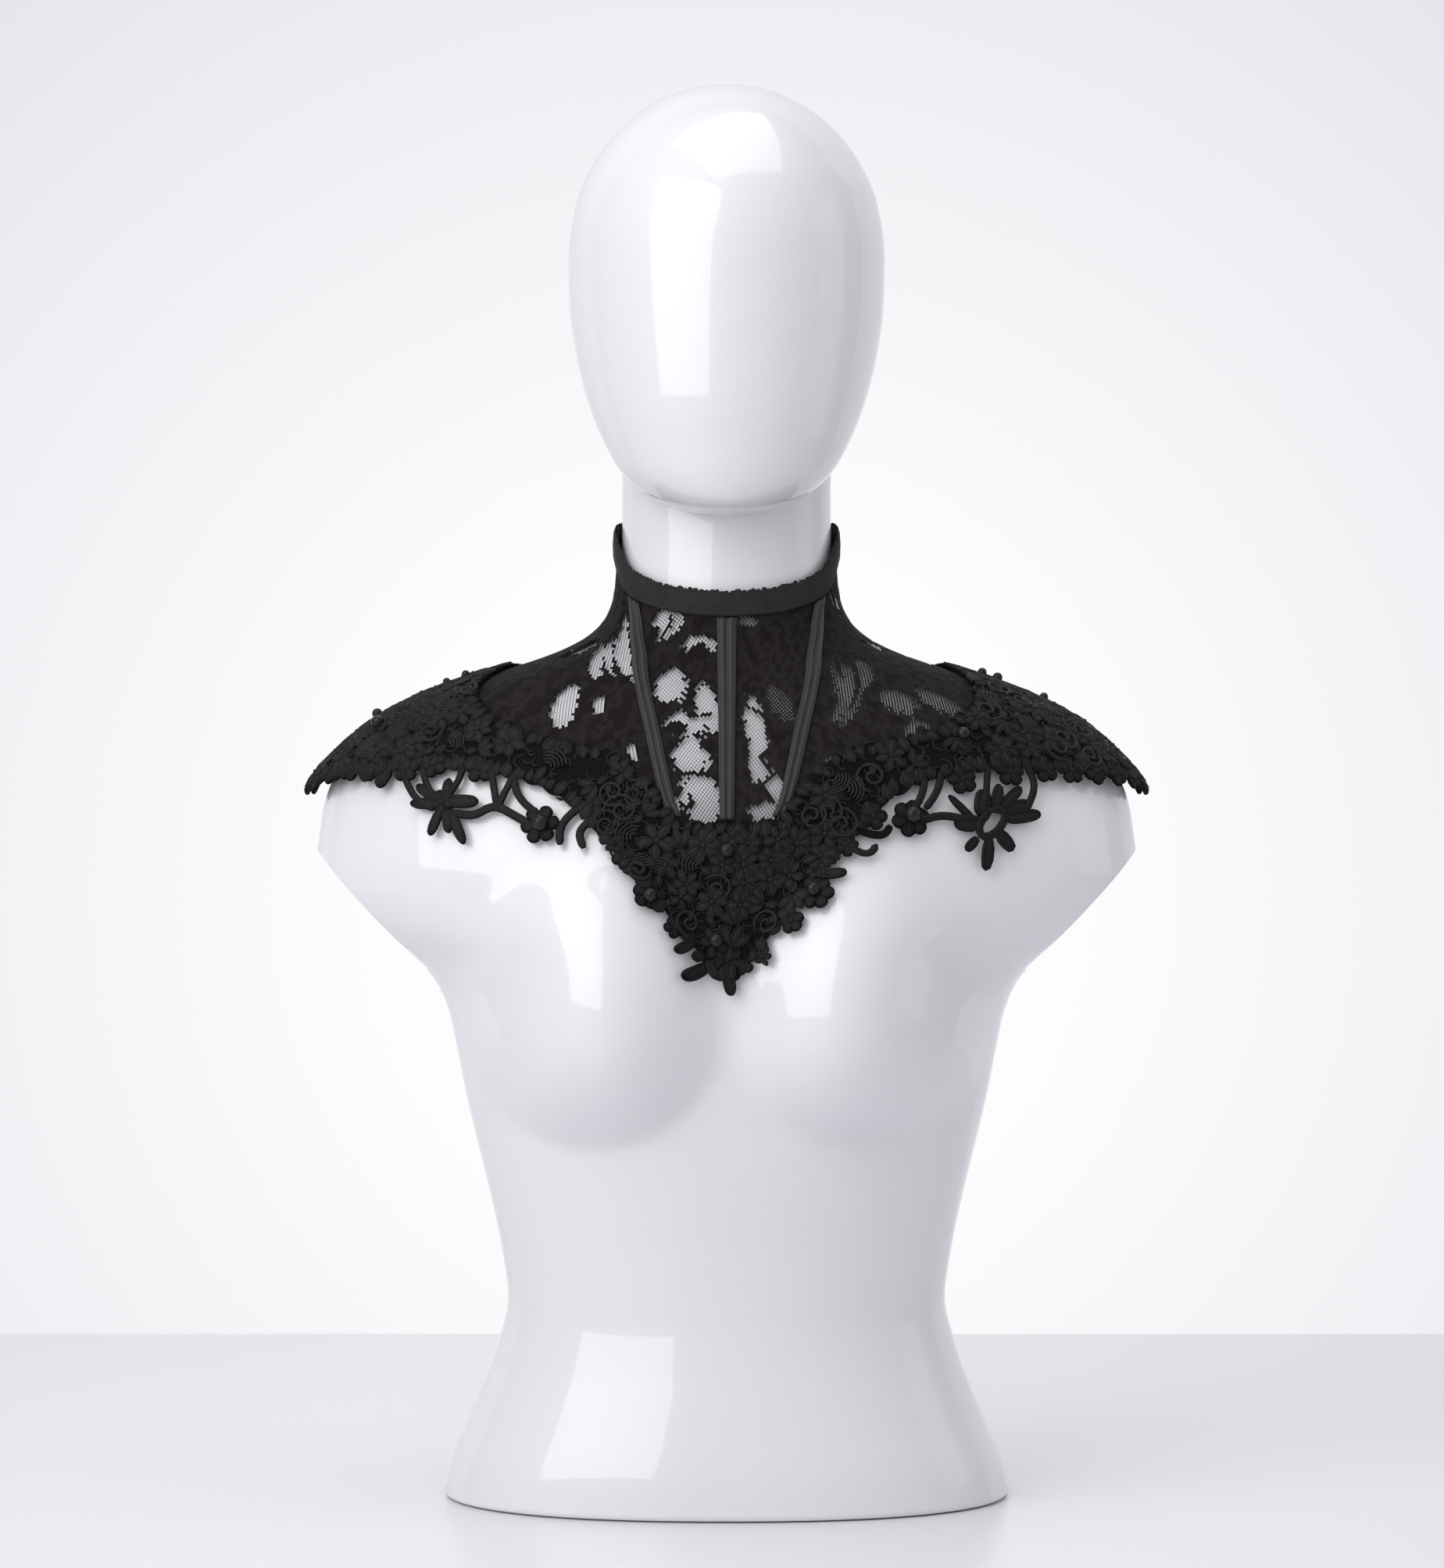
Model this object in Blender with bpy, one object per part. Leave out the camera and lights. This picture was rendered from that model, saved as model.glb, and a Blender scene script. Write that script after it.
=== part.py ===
"""Lace neck corset standing on the limbless torso form that it is worn on.

Lengths in the tables are millimetres and MM turns them into metres. Z is up,
the front faces -Y, and the form's flat base stands on Z = 0. A place on the
cloth is (angle, path): the angle round the neck in degrees, 0 at the centre
front and positive to +X, and the path in millimetres from the collar's top
edge down over the cloth.
"""

import math

import bmesh
import bpy
import numpy as np
from mathutils import Matrix, Vector
from mathutils.geometry import delaunay_2d_cdt

MM = 0.001

# height, half width, front depth, back depth, roundness of the section
BODY_SECTIONS = (
    (0, 140.7, 102, 98, 2.3),
    (17, 136.5, 100, 96, 2.3),
    (46, 124.8, 94, 91, 2.25),
    (74, 114.2, 88, 84, 2.2),
    (97, 108.9, 85, 79, 2.2),
    (121, 112.0, 87, 79, 2.2),
    (148, 117.6, 92, 83, 2.2),
    (172, 123.5, 97, 88, 2.2),
    (183, 126.2, 98.7, 90.6, 2.2),
    (197, 129.5, 101, 94, 2.2),
    (222, 134.5, 104, 99, 2.2),
    (243, 139.0, 107, 103, 2.15),
    (256, 142.8, 108.5, 105, 2.1),
    (263, 146.5, 109, 106, 2.05),
    (270, 166.0, 109, 106.5, 1.85),
    (280, 189.0, 109, 107, 1.85),
    (292, 202.0, 108.5, 107, 1.9),
    (306, 206.0, 107, 107, 1.95),
    (323, 203.5, 104, 105, 2.0),
    (342, 200.6, 98, 102, 2.0),
    (356, 195.5, 91.5, 98.5, 2.0),
    (367, 188.0, 85.5, 95, 2.0),
    (376, 178.5, 80, 91, 2.0),
    (384, 166.5, 74.5, 87, 2.0),
    (391, 152.5, 69.5, 83, 2.0),
    (397, 138.0, 65.5, 79, 2.0),
    (402, 124.0, 62.5, 75.5, 2.0),
    (407, 108.5, 60, 72, 2.0),
    (412, 93.0, 57.5, 69, 2.0),
    (417.5, 79.0, 55.3, 66.5, 2.0),
    (424, 67.5, 53.2, 64, 2.0),
    (432, 59.5, 51.5, 61.5, 2.0),
    (442, 54.8, 50.2, 59.8, 2.0),
    (455, 52.9, 49.3, 58.6, 2.0),
    (472, 52.2, 48.5, 57.5, 2.0),
    (495, 52.0, 47.0, 56.0, 2.0),
    (520, 52.0, 45.5, 54.5, 2.0),
    (548, 52.0, 44.0, 53.0, 2.0),
)

# height, half width, y of the front, y of the back
HEAD_SECTIONS = (
    (484.5, 20.0, -80, -40),
    (489.0, 33.0, -86, -22),
    (496.0, 43.5, -90, -6),
    (505.0, 52.0, -93, 9),
    (520.0, 60.5, -96, 33),
    (540.0, 68.5, -98, 60),
    (563.0, 74.5, -98.5, 80),
    (588.0, 78.2, -98, 91),
    (614.0, 79.0, -96, 94),
    (640.0, 75.5, -89, 90),
    (662.0, 66.0, -76, 79),
    (680.0, 51.5, -57, 62),
    (692.0, 34.5, -36, 42),
    (698.5, 17.0, -16, 22),
)
HEAD_BOTTOM = (482.5, -60)
HEAD_TOP = (700.0, 3)
RING_POINTS = 40
HEAD_POINTS = 26
# Between these heights, where the neck spreads, the rings are twice as close.
CLOSE_ROWS = (383, 441)

# A plane through two points of the outline cuts each arm off flat.
ARM_CUT_TOP = (204.0, 320.5)
ARM_CUT_BOTTOM = (146.0, 262.5)
ARM_CUT_PAST = 60.0
ARM_CUT_DEPTH = 150.0

BUST_CENTRE = (67.0, 231.0)
BUST_RADIUS = 62.0
BUST_ABOVE = 104.0
BUST_BELOW = 55.0
BUST_RISE = 35.0
BUST_POWERS = (1.15, 1.15)

# angle from the front, height of the collar's top edge
COLLAR_TOP = (
    (0, 445.2),
    (20, 446.6),
    (43, 451.8),
    (58, 457.4),
    (69, 465.0),
    (80, 473.5),
    (95, 479.5),
    (120, 483.5),
    (180, 485.5),
)

LOWEST_CLOTH = 120.0
HIGHEST_CLOTH = 492.0
CLEARANCE = 1.7
LACE_WALL = 1.0
TRIM_GAP = 0.45
BONE_WALL = 1.3
TUNNEL_RISE = 0.9
BAND_WALL = 1.1
BAND_HEIGHT = 12.0
APPLIQUE_GAP = 0.8
APPLIQUE_WALL = 1.8
SEAM_GAP = 0.3

# Seams run down the centre of each bone, over the shoulders and down the back.
# path, angle of the centre line of a side bone
SIDE_BONE = (
    (0, 60),
    (11, 54),
    (25, 42),
    (42, 26),
    (61, 16),
    (78, 12),
    (94, 10),
    (116, 8),
    (130, 6.4),
    (150, 6),
)
BONE_WIDTH = (9.5, 7.0)
BONE_ENDS = (12.8, 121.5)
SHOULDER_SEAM = 92.0
BACK_EDGE = 0.6
PLACKET_MIDDLE = 5.6
PLACKET_WIDTH = 8.5
PLACKET_ENDS = (13.0, 133.0)
PLACKET_WALL = 1.2
APPLIQUE_BACK_EDGE = 12.5
APPLIQUE_SEAM = 17.0

# angle from the front, path of the lace's hidden lower edge
LACE_HEM = (
    (0, 146),
    (9, 140),
    (16, 116),
    (30, 117),
    (45, 126),
    (60, 134),
    (75, 143),
    (90, 150),
    (110, 146),
    (135, 126),
    (160, 116),
    (180, 112),
)
# angle from the front, paths of the appliqué's upper and lower edges
APPLIQUE_EDGES = (
    (0, 125.0, 200),
    (3, 125.5, 197),
    (6, 126.0, 189),
    (8, 125.5, 181),
    (10, 117.0, 171),
    (12, 109.0, 162),
    (14, 102.0, 153),
    (17, 99.0, 142),
    (22, 101.0, 131),
    (27, 104.0, 129),
    (34, 108.0, 134),
    (42, 110.0, 143),
    (50, 109.0, 155),
    (58, 106.0, 168),
    (66, 103.0, 182),
    (74, 100.0, 196),
    (81, 99.0, 208),
    (88, 100.0, 216),
    (95, 101.0, 214),
    (104, 102.0, 203),
    (114, 101.0, 191),
    (126, 98.0, 178),
    (140, 94.0, 162),
    (158, 88.0, 140),
    (180, 84.0, 131),
)

FLAT_TURN = 2.5
RANGE_PATHS = (70.0, 270.0)
FIELD_STEP = 25.0
BACK_FIELD_STEP = 32.0
FIELD_PETAL = 6.6
PEAK_LIFT = 1.3
PETAL_LIFT = 1.0
PEARL_RADIUS = 3.6
STRAP_WIDTH = 3.6

# Edge motifs of the appliqué. flower: angle, path, radius
FLOWERS = (
    (6.0, 190, 7.5),
    (-13.5, 150, 8.0),
    (-11.5, 164, 8.5),
    (-10.0, 177, 7.0),
    (13.0, 168, 9.0),
    (9.5, 178, 7.0),
    (15.5, 144, 8.0),
    (19.5, 137, 8.0),
    (-25.5, 148, 11.0),
    (-18.5, 130, 8.0),
    (-38.0, 147, 8.5),
    (-43.0, 152, 8.5),
    (-53.5, 162, 7.0),
    (-58.5, 171, 7.0),
    (-66.5, 182, 7.0),
    (-72.5, 194, 7.5),
    (25.5, 144, 9.5),
    (35.5, 145, 10.0),
    (41.5, 158, 9.0),
    (35.0, 158, 8.0),
    (41.5, 170, 8.0),
    (51.0, 160, 7.5),
    (56.5, 168, 7.5),
    (63.0, 178, 7.5),
    (71.0, 192, 7.5),
    (77.5, 203, 7.5),
)
# leaf: angle, path, length, width, turn of its tip from straight down
LEAVES = (
    (0.0, 194, 21, 8.5, 0),
    (-5.5, 194, 17, 7.5, -35),
    (-7.5, 187, 12, 6.5, -60),
    (9.0, 186, 12, 6.5, 50),
    (-48.0, 162, 19, 8.0, -20),
    (-44.5, 165, 21, 8.5, -25),
    (-41.5, 166, 20, 8.0, -10),
    (-38.5, 158, 19, 8.0, 12),
    (-79.0, 206, 16, 8.0, -60),
    (25.0, 152, 13, 7.0, 0),
    (36.5, 172, 20, 8.0, -8),
    (40.5, 179, 22, 8.5, 12),
    (43.5, 178, 24, 8.5, 32),
    (82.0, 212, 16, 8.0, 60),
)
# strap: the places that it runs through
STRAPS = (
    ((14.5, 146), (16.0, 156), (17.5, 159), (18.8, 154)),
    ((17.5, 140), (19.0, 148), (20.5, 151), (22.0, 146)),
    ((-20.5, 130), (-22.2, 141), (-21.6, 149), (-19.6, 152), (-18.0, 146)),
    ((-16.5, 128), (-17.8, 138), (-17.2, 146), (-15.4, 149), (-14.2, 145)),
    ((-37.0, 146), (-33.5, 149), (-30.5, 149), (-27.5, 148)),
    ((-28.2, 124), (-27.4, 134), (-26.0, 143)),
    ((-24.0, 142), (-22.5, 136), (-21.5, 130)),
    ((26.0, 122), (26.2, 133), (25.6, 141)),
    ((27.0, 145), (29.5, 146), (32.5, 146), (35.0, 145)),
)
# pearl: angle, path
PEARLS = (
    (0.0, 139),
    (-2.0, 181),
    (-25.5, 147),
    (-11.5, 164),
    (12.0, 165),
    (25.5, 143),
    (38.0, 119),
    (-72.0, 161),
    (-86.0, 130),
    (-86.0, 120),
)
# gap: angle, path, length, width, turn
GAPS = (
    (38.2, 165, 9.0, 8.0, 0),
    (-50.0, 146, 9.0, 4.8, 10),
    (-45.5, 142, 8.0, 4.8, -10),
    (-11.6, 152, 9.0, 4.6, -30),
    (-9.0, 166, 9.0, 4.6, -35),
    (-33.0, 128, 9.0, 4.7, 20),
    (31.5, 126, 8.0, 4.7, 20),
    (49.5, 145, 8.0, 4.7, 10),
)
# Behind the shoulders the lower edge has an even row of flowers and leaves.
BACK_STEP = 27.0

# The free lower edge stands off the shoulder, as far as this at its tip.
WING_FLARE = 7.0
WING_START = 376.0
WING_END = 350.0
WING_SPREAD = 38.0


def smooth_between(places, values, at):
    """Values between the rows of a table, with no overshoot (a monotone cubic)."""
    places = np.asarray(places, float)
    values = np.asarray(values, float)
    steps = np.diff(places)
    slopes = np.diff(values) / steps
    tangents = np.zeros(len(places))
    tangents[0], tangents[-1] = slopes[0], slopes[-1]
    for i in range(1, len(places) - 1):
        if slopes[i - 1] * slopes[i] > 0:
            before = 2 * steps[i] + steps[i - 1]
            after = steps[i] + 2 * steps[i - 1]
            tangents[i] = (before + after) / (before / slopes[i - 1] + after / slopes[i])
    at = np.clip(at, places[0], places[-1])
    row = np.clip(np.searchsorted(places, at, side="right") - 1, 0, len(steps) - 1)
    step = steps[row]
    t = (at - places[row]) / step
    return (
        (1 + 2 * t) * (1 - t) ** 2 * values[row]
        + t * (1 - t) ** 2 * step * tangents[row]
        + t**2 * (3 - 2 * t) * values[row + 1]
        + t**2 * (t - 1) * step * tangents[row + 1]
    )


def bust_rise(x, z):
    """How far the two soft mounds stand forward at a point of the front."""
    across = (np.abs(x) - BUST_CENTRE[0]) / BUST_RADIUS
    up = z - BUST_CENTRE[1]
    along = up / np.where(up > 0, BUST_ABOVE, BUST_BELOW)
    power = BUST_POWERS[0] + BUST_POWERS[1] * np.clip(along, 0, 1)
    return BUST_RISE * np.clip(1 - across**2 - along**2, 0, 1) ** power


def section_point(angle, half_width, front, back, roundness):
    """x and y round one horizontal section of the body."""
    side, fore = np.sin(angle), np.cos(angle)
    depth = np.where(fore > 0, front, back)
    x = half_width * np.sign(side) * np.abs(side) ** (2 / roundness)
    return x, -depth * np.sign(fore) * np.abs(fore) ** (2 / roundness)


def body_columns():
    """The section table as columns, with each row's distance along the outline."""
    table = np.array(BODY_SECTIONS, float)
    run = np.hypot(np.diff(table[:, 0]), np.diff(table[:, 1]))
    return np.concatenate([[0], np.cumsum(run)]), table.T


def body_point(angle, run):
    """A point of the smooth body, from its angle and its distance up the outline."""
    runs, (heights, *columns) = body_columns()
    z = smooth_between(runs, heights, run)
    x, y = section_point(angle, *(smooth_between(runs, c, run) for c in columns))
    return x, y - np.where(np.cos(angle) > 0, bust_rise(x, z), 0), z


class Cloth:
    """The surface that the cloth follows, as a grid over (angle, path)."""

    ANGLE_STEP = 2.0
    PATH_STEP = 1.0
    LONGEST = 285.0

    def __init__(self):
        runs, table = body_columns()
        angles = np.arange(-180, 180 + self.ANGLE_STEP / 2, self.ANGLE_STEP)
        lowest = np.interp(LOWEST_CLOTH, table[0], runs)
        highest = np.interp(HIGHEST_CLOTH, table[0], runs)
        rows = np.linspace(highest, lowest, 700)
        turn, run = np.meshgrid(np.radians(angles), rows, indexing="ij")
        points = np.stack(body_point(turn, run), axis=-1)
        normals = self.normals_of(points)
        points = points + normals * CLEARANCE
        flare = np.clip((WING_START - points[..., 2]) / (WING_START - WING_END), 0, 1)
        beside = np.exp(-(((np.abs(angles) - 90) / WING_SPREAD) ** 2))
        points[..., 0] += np.sign(points[..., 0]) * WING_FLARE * flare**1.5 * beside[:, None]
        tops = smooth_between(*zip(*COLLAR_TOP), np.abs(angles))
        self.paths = np.arange(0, self.LONGEST, self.PATH_STEP)
        self.angles = angles
        self.points = np.array(
            [self.along(column, top) for column, top in zip(points, tops)]
        )
        self.normals = self.normals_of(self.points)

    @staticmethod
    def normals_of(points):
        round_it = np.gradient(points, axis=0)
        round_it[0] = round_it[-1] = points[1] - points[-2]
        normals = np.cross(np.gradient(points, axis=1), round_it)
        return normals / np.linalg.norm(normals, axis=-1, keepdims=True)

    def along(self, column, top):
        """One meridian resampled at even distances from the collar's top edge."""
        run = np.concatenate([[0], np.cumsum(np.linalg.norm(np.diff(column, axis=0), axis=1))])
        start = np.interp(-top, -column[:, 2], run)
        return np.stack([np.interp(self.paths + start, run, c) for c in column.T], axis=-1)

    def read(self, grid, angle, path):
        across = np.clip((angle - self.angles[0]) / self.ANGLE_STEP, 0, len(self.angles) - 1.001)
        down = np.clip(path / self.PATH_STEP, 0, len(self.paths) - 1.001)
        i, j = int(across), int(down)
        u, v = across - i, down - j
        near = grid[i, j] * (1 - v) + grid[i, j + 1] * v
        far = grid[i + 1, j] * (1 - v) + grid[i + 1, j + 1] * v
        return near * (1 - u) + far * u

    def point(self, angle, path, offset=0.0):
        """A point of the cloth, moved out by the offset, in metres."""
        out = self.read(self.normals, angle, path)
        out /= np.linalg.norm(out)
        return Vector((self.read(self.points, angle, path) + out * offset) * MM)

    def frame(self, angle, path):
        """What turns millimetres (across, down) on the cloth into (angle, path)."""
        round_it = self.read(self.points, angle + 1, path) - self.read(self.points, angle - 1, path)
        down = self.read(self.points, angle, path + 1) - self.read(self.points, angle, path - 1)
        round_it, down = round_it / 2, down / 2
        across = round_it / np.linalg.norm(round_it)
        square = down - across * down.dot(across)
        square /= np.linalg.norm(square)
        steps = np.array([[round_it.dot(across), down.dot(across)], [0, down.dot(square)]])
        return np.linalg.inv(steps)


def clear_scene():
    for old in list(bpy.data.objects):
        bpy.data.objects.remove(old)


def new_collection(name):
    collection = bpy.data.collections.new(name)
    bpy.context.scene.collection.children.link(collection)
    return collection


def material(name, colour, roughness, sheen=0.0, coat=0.0):
    made = bpy.data.materials.new(name)
    made.use_nodes = True
    shader = made.node_tree.nodes["Principled BSDF"]
    shader.inputs["Base Color"].default_value = (*colour, 1)
    shader.inputs["Roughness"].default_value = roughness
    shader.inputs["Sheen Weight"].default_value = sheen
    shader.inputs["Coat Weight"].default_value = coat
    made.diffuse_color = (*colour, 1)
    return made


def on_table(table, at, column=1):
    places, values = zip(*((row[0], row[column]) for row in table))
    return float(smooth_between(places, values, at))


def finish_object(name, shape, collection, finish):
    """A node made from a bmesh."""
    bmesh.ops.recalc_face_normals(shape, faces=shape.faces)
    if shape.calc_volume(signed=True) < 0:
        bmesh.ops.reverse_faces(shape, faces=shape.faces)
    mesh = bpy.data.meshes.new(name)
    shape.to_mesh(mesh)
    shape.free()
    mesh.materials.append(finish)
    made = bpy.data.objects.new(name, mesh)
    collection.objects.link(made)
    return made


def loft(shape, rings):
    """Joins closed rings of points into one wall and returns the first and last."""
    made = [[shape.verts.new(Vector(p) * MM) for p in ring] for ring in rings]
    for low, high in zip(made, made[1:]):
        for i in range(len(low)):
            after = (i + 1) % len(low)
            shape.faces.new((low[i], low[after], high[after], high[i]))
    return made[0], made[-1]


def torso_shape():
    runs, table = body_columns()
    between = (runs[1:] + runs[:-1]) / 2
    near_neck = (table[0][:-1] >= CLOSE_ROWS[0]) & (table[0][:-1] < CLOSE_ROWS[1])
    runs = np.sort(np.concatenate([runs, between[near_neck]]))
    turns = np.arange(RING_POINTS) * 2 * math.pi / RING_POINTS
    rings = [np.stack(body_point(turns, np.full(RING_POINTS, run)), axis=-1) for run in runs]
    shape = bmesh.new()
    for ring in loft(shape, rings):
        shape.faces.new(ring)
    return shape


def arm_cut_shape(side):
    """A block whose inner face lies in the plane where one arm is cut off."""
    top, bottom = np.array(ARM_CUT_TOP), np.array(ARM_CUT_BOTTOM)
    along = (top - bottom) / np.linalg.norm(top - bottom)
    away = np.array([along[1], -along[0]])
    corners = [bottom, top + along * ARM_CUT_PAST, top + (along + away) * ARM_CUT_PAST]
    corners.append(bottom + away * ARM_CUT_PAST)
    shape = bmesh.new()
    front = [
        shape.verts.new(Vector((side * x, -ARM_CUT_DEPTH, z)) * MM) for x, z in corners
    ]
    face = shape.faces.new(front)
    grown = bmesh.ops.extrude_face_region(shape, geom=[face], use_keep_orig=True)
    moved = [part for part in grown["geom"] if isinstance(part, bmesh.types.BMVert)]
    bmesh.ops.translate(shape, verts=moved, vec=Vector((0, 2 * ARM_CUT_DEPTH, 0)) * MM)
    return shape


def head_shape():
    rings = []
    for height, half_width, front, back in HEAD_SECTIONS:
        middle, depth = (front + back) / 2, (back - front) / 2
        rings.append(
            [
                (
                    half_width * math.sin(2 * math.pi * i / HEAD_POINTS),
                    middle - depth * math.cos(2 * math.pi * i / HEAD_POINTS),
                    height,
                )
                for i in range(HEAD_POINTS)
            ]
        )
    shape = bmesh.new()
    for ring, (height, y) in zip(loft(shape, rings), (HEAD_BOTTOM, HEAD_TOP)):
        pole = shape.verts.new(Vector((0, y, height)) * MM)
        for i, corner in enumerate(ring):
            shape.faces.new((corner, ring[(i + 1) % len(ring)], pole))
    return shape


def combine(body, other, operation):
    """Joins a helper shape to a body, or cuts it out, and hides the helper."""
    other.hide_render = True
    other.display_type = "WIRE"
    change = body.modifiers.new(other.name, "BOOLEAN")
    change.operation = operation
    change.solver = "EXACT"
    change.object = other


def display_form(collection, cutters, finish):
    """The torso with its head joined on as one body."""
    torso = finish_object("display_form", torso_shape(), collection, finish)
    head = finish_object("head_egg", head_shape(), cutters, finish)
    combine(torso, head, "UNION")
    for side, name in ((-1, "left"), (1, "right")):
        block = finish_object(f"arm_cut_{name}", arm_cut_shape(side), cutters, finish)
        combine(torso, block, "DIFFERENCE")
    return torso


def strip_shape(cloth, place, columns, rows, offset, wall, rise=None):
    """A panel whose grid is laid on the cloth by place(u, v), then made thick.

    rise(u, v) raises a point of the outer face, and leaves the inner face plain.
    """
    shape = bmesh.new()
    grid = bmesh.ops.create_grid(shape, x_segments=columns, y_segments=rows, size=0.5)
    spots = {vert: (vert.co.x + 0.5, 0.5 - vert.co.y) for vert in grid["verts"]}
    inner = list(spots)
    grown = bmesh.ops.extrude_face_region(shape, geom=shape.faces[:], use_keep_orig=True)
    outer = [part for part in grown["geom"] if isinstance(part, bmesh.types.BMVert)]
    beside = {vert.co.copy().freeze(): spots[vert] for vert in inner}
    for vert in outer:
        u, v = beside[vert.co.copy().freeze()]
        lift = rise(u, v) if rise else 0.0
        vert.co = cloth.point(*place(u, v), offset + wall + lift)
    for vert, (u, v) in spots.items():
        vert.co = cloth.point(*place(u, v), offset)
    return shape


def angle_beside(cloth, middle, path, distance):
    """The angle that lies a distance to one side of a meridian."""
    return middle + distance * cloth.frame(np.clip(middle, -178, 178), path)[0, 0]


def bone_angle(path):
    return on_table(SIDE_BONE, path)


def lace_panel(cloth, first, last, columns, rows):
    """A lace panel between two seams, each given as its angle at a path."""

    def place(u, v):
        low, high = first(140.0), last(140.0)
        path = 0.2 + v * (on_table(LACE_HEM, abs(low + (high - low) * u)) - 0.2)
        low, high = first(path), last(path)
        return low + (high - low) * u, path

    return strip_shape(cloth, place, columns, rows, 0.0, LACE_WALL)


def lace_panels(cloth, collection, finish):
    """Three panels on each side: front, side and back."""
    half = SEAM_GAP / 2

    def beside_bone(side, distance):
        return lambda path: side * angle_beside(cloth, bone_angle(path), path, distance)

    for side, name in ((-1, "left"), (1, "right")):
        panels = (
            ("front", lambda path: side * angle_beside(cloth, 0.0, path, half), beside_bone(side, -half), 4, 14),
            ("side", beside_bone(side, half), lambda path: side * angle_beside(cloth, SHOULDER_SEAM, path, -half), 10, 14),
            ("back", lambda path: side * angle_beside(cloth, SHOULDER_SEAM, path, half), lambda path: side * angle_beside(cloth, 180.0, path, -BACK_EDGE), 9, 11),
        )
        for place, first, last, columns, rows in panels:
            shape = lace_panel(cloth, first, last, columns, rows)
            finish_object(f"lace_{place}_{name}", shape, collection, finish)


def bones(cloth, collection, finish):
    """Three bone channels, each a strip with two raised tunnels."""

    def tunnels(u, v):
        return TUNNEL_RISE if 0.1 < u < 0.4 or 0.6 < u < 0.9 else 0.0

    def bone(middle):
        def place(u, v):
            path = BONE_ENDS[0] + v * (BONE_ENDS[1] - BONE_ENDS[0])
            width = BONE_WIDTH[0] + v * (BONE_WIDTH[1] - BONE_WIDTH[0])
            return angle_beside(cloth, middle(path), path, (u - 0.5) * width), path

        offset = LACE_WALL + TRIM_GAP
        return strip_shape(cloth, place, 4, 14, offset, BONE_WALL, tunnels)

    lines = {
        "center": lambda path: 0.0,
        "left": lambda path: -bone_angle(path),
        "right": bone_angle,
    }
    for name, middle in lines.items():
        finish_object(f"bone_channel_{name}", bone(middle), collection, finish)


def top_band(cloth, collection, finish):
    """The ribbon round the collar's top edge, open at the centre back."""

    def place(u, v):
        path = v * BAND_HEIGHT
        edge = angle_beside(cloth, 180.0, path, -BACK_EDGE)
        return edge * (2 * u - 1), path

    def crown(u, v):
        return 0.4 if 0.2 < v < 0.8 else 0.0

    shape = strip_shape(cloth, place, 38, 2, LACE_WALL + TRIM_GAP, BAND_WALL, crown)
    finish_object("top_band", shape, collection, finish)


def plackets(cloth, collection, finish):
    """A facing strip down each side of the opening at the centre back."""
    for side, name in ((-1, "left"), (1, "right")):

        def place(u, v, side=side):
            path = PLACKET_ENDS[0] + v * (PLACKET_ENDS[1] - PLACKET_ENDS[0])
            across = PLACKET_MIDDLE + (u - 0.5) * PLACKET_WIDTH
            return side * angle_beside(cloth, 180.0, path, -across), path

        shape = strip_shape(cloth, place, 1, 14, LACE_WALL + TRIM_GAP, PLACKET_WALL)
        finish_object(f"back_placket_{name}", shape, collection, finish)


def ring(radii, turn=0.0):
    """Points round a centre, one at each radius, as (across, down) in mm."""
    step = 2 * math.pi / len(radii)
    return [
        (radius * math.sin(i * step + turn), radius * math.cos(i * step + turn))
        for i, radius in enumerate(radii)
    ]


def flower_outline(radius, petals=5):
    return ring([0.74 * radius, radius, radius] * petals)


def leaf_outline(length, width, turn):
    """A leaf whose tip points down, turned towards +X."""
    half = (
        (0.5, 0.0), (0.28, 0.36), (0.0, 0.5), (-0.28, 0.4), (-0.5, 0.0),
        (-0.28, -0.4), (0.0, -0.5), (0.28, -0.36),
    )
    cos, sin = math.cos(math.radians(turn)), math.sin(math.radians(turn))
    points = [(-wide * width, along * length) for along, wide in half]
    return [(u * cos + v * sin, v * cos - u * sin) for u, v in points]


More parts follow.
